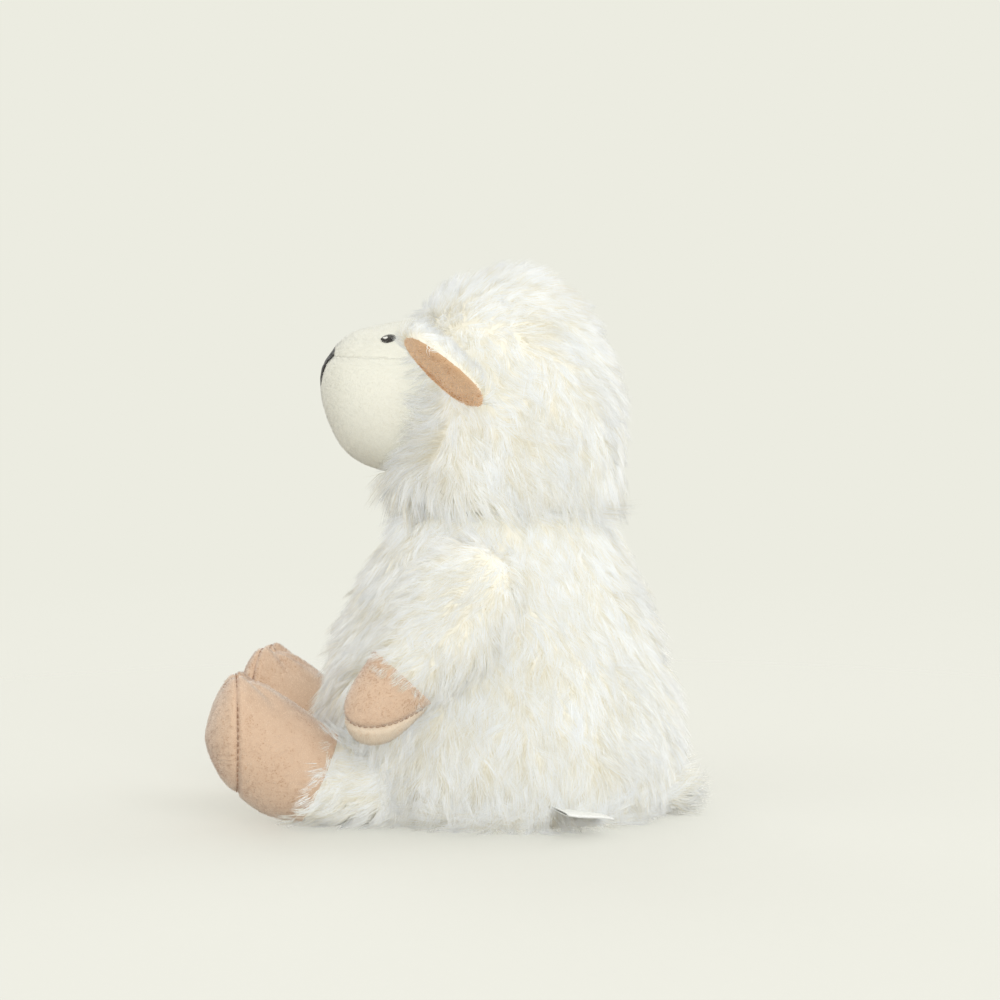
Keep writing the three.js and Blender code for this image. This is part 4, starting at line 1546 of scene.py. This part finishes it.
@dataclass
class Arm:
    """One arm: pile sleeve, back and palm of the hand, and the filling.

    Attributes:
        side: side of the body.
        shoulder: middle of the shoulder on the left.
        outward: direction away from the body.
        down: direction from the shoulder to the hand.
        length: its length.
        half_width: half its width.
        half_thickness: half its thickness.
        stand_off: how far its middle lies from the body.
        cuff: where the hand starts along it.
        cuff_turn: how far the cuff is turned, in degrees.
        pile_length: length of its pile.
        pile_height: how far the pile stands over the skin.
        filling_inset: how far the filling lies inside the form.
    """

    side: Side
    shoulder: Vector = field(default_factory=lambda: Vector((59.32, -7, 116)))
    outward: Vector = field(default_factory=lambda: Vector((0.9369, -0.0985, 0.3355)))
    down: Vector = field(default_factory=lambda: Vector((0.2181, -0.5852, -0.7810)))
    length: float = 96
    half_width: float = 25
    half_thickness: float = 18
    stand_off: float = 11
    cuff: float = 64
    cuff_turn: float = -6
    pile_length: float = 15
    pile_height: float = 4
    filling_inset: float = 7

    def build(self, kit: Kit) -> None:
        """Builds the sleeve, the hand and the filling.

        Args:
            kit: what the pieces share.
        """
        sign, name = self.side.sign, self.side.value
        flip = Vector((sign, 1, 1))
        outward, down, shoulder = self.outward * flip, self.down * flip, self.shoulder * flip
        across = down.cross(outward)
        rows = scaled(ARM_SHARES, self.length, self.half_width, self.half_width, self.half_thickness)
        form = Swelling(rows, 24)
        place = placing(down, across, shoulder + outward * self.stand_off)
        body = f"{name}_arm"
        seed = self.side.seed(400)
        cuff = shoulder + down * self.cuff
        cuff_normal = down.copy()
        cuff_normal.rotate(Matrix.Rotation(math.radians(self.cuff_turn * sign), 3, outward))

        def comb(points: Array, normals: Array) -> Array:
            """Combs the sleeve along the arm, spreading from the shoulder."""
            spread = unit(points - np.array(shoulder + outward * 8 - down * 12))
            return np.array([down]) * 0.7 + spread * 0.9

        def trim(points: Array) -> Array:
            """Shortens the pile towards the cuff."""
            return 1 - 0.5 * smoothstep(-16, 0, (points - np.array(cuff)) @ np.array(cuff_normal))

        def outside(points: Array) -> Array:
            """Leaves the side against the body without pile."""
            return (points - np.array(shoulder)) @ np.array(outward) > 2

        sleeve = form.model(f"{body}_sleeve_pile", place, self.pile_height)
        cut(sleeve, shoulder + outward * 1.5, outward, True)
        cut(sleeve, cuff + down * 0.5, -cuff_normal)
        pile = Pile(self.pile_length)
        strands = pile.grown(sleeve, kit.strand, comb, seed, outside, trim, toward=outward * 0.5)
        dressed(covered(sleeve, strands), body, WHITE_PILE, (f"{body}_sleeve",))
        hand = form.model(f"{body}_hand", place, 1.2, 2)
        cut(hand, shoulder + outward * 0.5, outward, True)
        cut(hand, cuff - down * 3, cuff_normal)
        point = shoulder + down * (self.length - 5) + outward * (self.stand_off + 9)
        normal = outward * 0.72 - down * 0.55 + across * (0.42 * sign)
        seam = Seam(body, point, normal, 1.7, 0.9, 0.18, -0.3, 1.3, 1.5)
        seam.groove(hand)
        panels = ((f"{name}_hand_back_panel", 1, BEIGE_PLUSH), (f"{name}_hand_palm_panel", -1, PALE_PLUSH))
        seam.split(hand, kit, body, panels, comb, seed + 10)
        bpy.data.objects.remove(hand)
        filling(form, place, self.filling_inset, body, (shoulder + outward * 4, outward))


@dataclass
class Leg:
    """One leg: pile sleeve, upper and sole of the foot, toe stitch and filling.

    Attributes:
        side: side of the body.
        hip: place of the hip on the left.
        turn_out: how far the leg turns outwards, in degrees.
        reach: reach from the hip to the toe.
        radius: radius of the hip.
        height: height of the leg.
        foot_height: height of the foot.
        foot_half_width: half the width of the foot.
        ankle: where the foot starts along the leg.
        ankle_tilt: how far the ankle leans, in degrees.
        sole: where the sole starts along the leg.
        pile_length: length of its pile.
        pile_height: how far the pile stands over the skin.
        filling_inset: how far the filling lies inside the form.
        folds: angle, depth and length of each fold at the toe.
    """

    side: Side
    hip: Vector = field(default_factory=lambda: Vector((38, -48, 0)))
    turn_out: float = 9.6
    reach: float = 88
    radius: float = 21
    height: float = 38
    foot_height: float = 72
    foot_half_width: float = 27.5
    ankle: float = 43
    ankle_tilt: float = -24
    sole: float = 74
    pile_length: float = 14
    pile_height: float = 4
    filling_inset: float = 7
    folds: tuple[tuple[float, float, float], ...] = ((0, 2.6, 28), (40, 2.8, 30), (-40, 2.8, 30))

    def rows(self) -> Rows:
        """Works out the rows from the hip to the toe.

        Returns:
            The rows in millimetres.
        """
        middle = self.height / 2
        hip = []
        for share in HIP_SHARES:
            spread = math.sqrt(1 - share * share)
            depths = (middle - middle * spread, middle * (1 + spread))
            hip.append((share * self.radius, *depths, self.radius * spread))
        sizes = (self.reach, self.foot_height, self.foot_height, self.foot_half_width)
        return (*hip, *(tuple(share * size for share, size in zip(row, sizes)) for row in FOOT_SHARES))

    def build(self, kit: Kit) -> None:
        """Builds the sleeve, the foot and the filling.

        Args:
            kit: what the pieces share.
        """
        sign, name = self.side.sign, self.side.value
        turn = math.radians(self.turn_out)
        ahead = Vector((math.sin(turn) * sign, -math.cos(turn), 0))
        hip = self.hip * Vector((sign, 1, 1))
        place = placing(ahead, UP, hip)
        form = Swelling(self.rows(), 24, 24)
        body = f"{name}_leg"
        seed = self.side.seed(500)
        ankle = hip + ahead * self.ankle + UP * (self.height / 2)
        ankle_normal = ahead.copy()
        ankle_normal.rotate(Matrix.Rotation(math.radians(self.ankle_tilt), 3, UP.cross(ahead)))

        def comb(points: Array, normals: Array) -> Array:
            """Combs the sleeve towards the foot and down to the floor."""
            outward = unit((points - np.array(hip)) * (1, 1, 0))
            return np.array([ahead]) * 0.8 + outward * 0.4 + np.array([[0, 0, -0.35]])

        sleeve = form.model(f"{body}_sleeve_pile", place, self.pile_height)
        cut(sleeve, UP, UP, True)
        cut(sleeve, ankle - ahead, -ankle_normal)
        strands = Pile(self.pile_length).grown(sleeve, kit.strand, comb, seed, toward=UP * 0.5)
        dressed(covered(sleeve, strands), body, WHITE_PILE, (f"{body}_sleeve",))
        foot = form.model(f"{body}_foot", place, 0.5, 2)
        cut(foot, UP * 0.4, UP, True)
        cut(foot, ankle - ahead * 4, ankle_normal)
        seam = Seam(body, hip + ahead * self.sole, ahead, 2, 1, 0.24, -0.45, 1.3, 1.2)
        seam.groove(foot)
        self.pucker(foot, seam.point, ahead)
        panels = ((f"{name}_foot_upper", -1, BEIGE_PLUSH), (f"{name}_foot_sole", 1, BEIGE_PLUSH))
        seam.split(foot, kit, body, panels, comb, seed + 10)
        self.toe_stitch(foot, kit.rod, seam.point, ahead)
        bpy.data.objects.remove(foot)
        filling(form, place, self.filling_inset, body, (UP * 4, UP))

    def pucker(self, foot: Obj, seam: Vector, ahead: Vector) -> None:
        """Draws the toe in over the seam, with folds that run back from it.

        Args:
            foot: the skin of the foot.
            seam: a point of the sole seam, in millimetres.
            ahead: direction of the leg.
        """

        def dip(points: Array) -> Array:
            """Gives the depth of the dip and the folds.

            Args:
                points: places of the foot in millimetres.

            Returns:
                The depth at each place in millimetres.
            """
            local = points - np.array(seam)
            along, across = local @ np.array(ahead), local @ np.array(UP.cross(ahead))
            deep = 3.4 * np.exp(-((along / 5) ** 2) - (across / 4.5) ** 2)
            for angle, depth, far in self.folds:
                heading = math.radians(angle)
                run = -along * math.cos(heading) + across * math.sin(heading)
                off = along * math.sin(heading) + across * math.cos(heading)
                deep += depth * smoothstep(-1, 3, run) * smoothstep(far, 4, run) * np.exp(-((off / 3) ** 2))
            return deep * smoothstep(22, 48, local[:, 2])

        pressed(foot, dip)

    def toe_stitch(self, foot: Obj, rod: Strand, seam: Vector, ahead: Vector) -> None:
        """Lays the two threads that draw the toe in.

        Args:
            foot: the skin of the foot.
            rod: the modelled thread.
            seam: a point of the sole seam, in millimetres.
            ahead: direction of the leg.
        """
        spans = []
        for shift in (-0.45, 0.45):
            middle = seam + UP.cross(ahead) * shift
            spans.append((middle + ahead * 6, middle - ahead * 3))
        lines = dropped(foot, spans, rod.steps, UP)[0] / MM
        lines[:, :, 2] += 0.2 + 0.9 * np.sin(math.pi * rod.steps)
        name = f"{self.side.value}_toe_stitch"
        made = rod.threads(f"{name}_thread", lines, np.repeat([UP[:]], 2, axis=0), 0.4, np.full(2, 0.5))
        dressed(made, f"{self.side.value}_leg", TOE_THREAD, (name,))


def main() -> None:
    """Builds the studio and every piece of the sheep in order."""
    logging.basicConfig(level=logging.INFO, format="%(message)s")
    Studio().build()
    strand, nap = Strand((0.45,)), Strand(())
    rod = Strand((0.1, 0.3, 0.5, 0.7, 0.9), 6, 0.6)
    kit = Kit(strand, nap, rod, Pile(1.2, 1.7, 0.2, 70, 25, 2.2, 0.1, 0.5, 1.8, 0.17, own=0.22))
    Torso().build(kit)
    Head().build(kit)
    for side in Side:
        Ear(side).build(kit)
        Arm(side).build(kit)
        Leg(side).build(kit)
    for name, finish in CARRIED.items():
        node = bpy.data.objects[name]
        node.data.materials.clear()
        node.data.materials.append(material_of(finish.name, finish.wire))


if __name__ == "__main__":
    main()
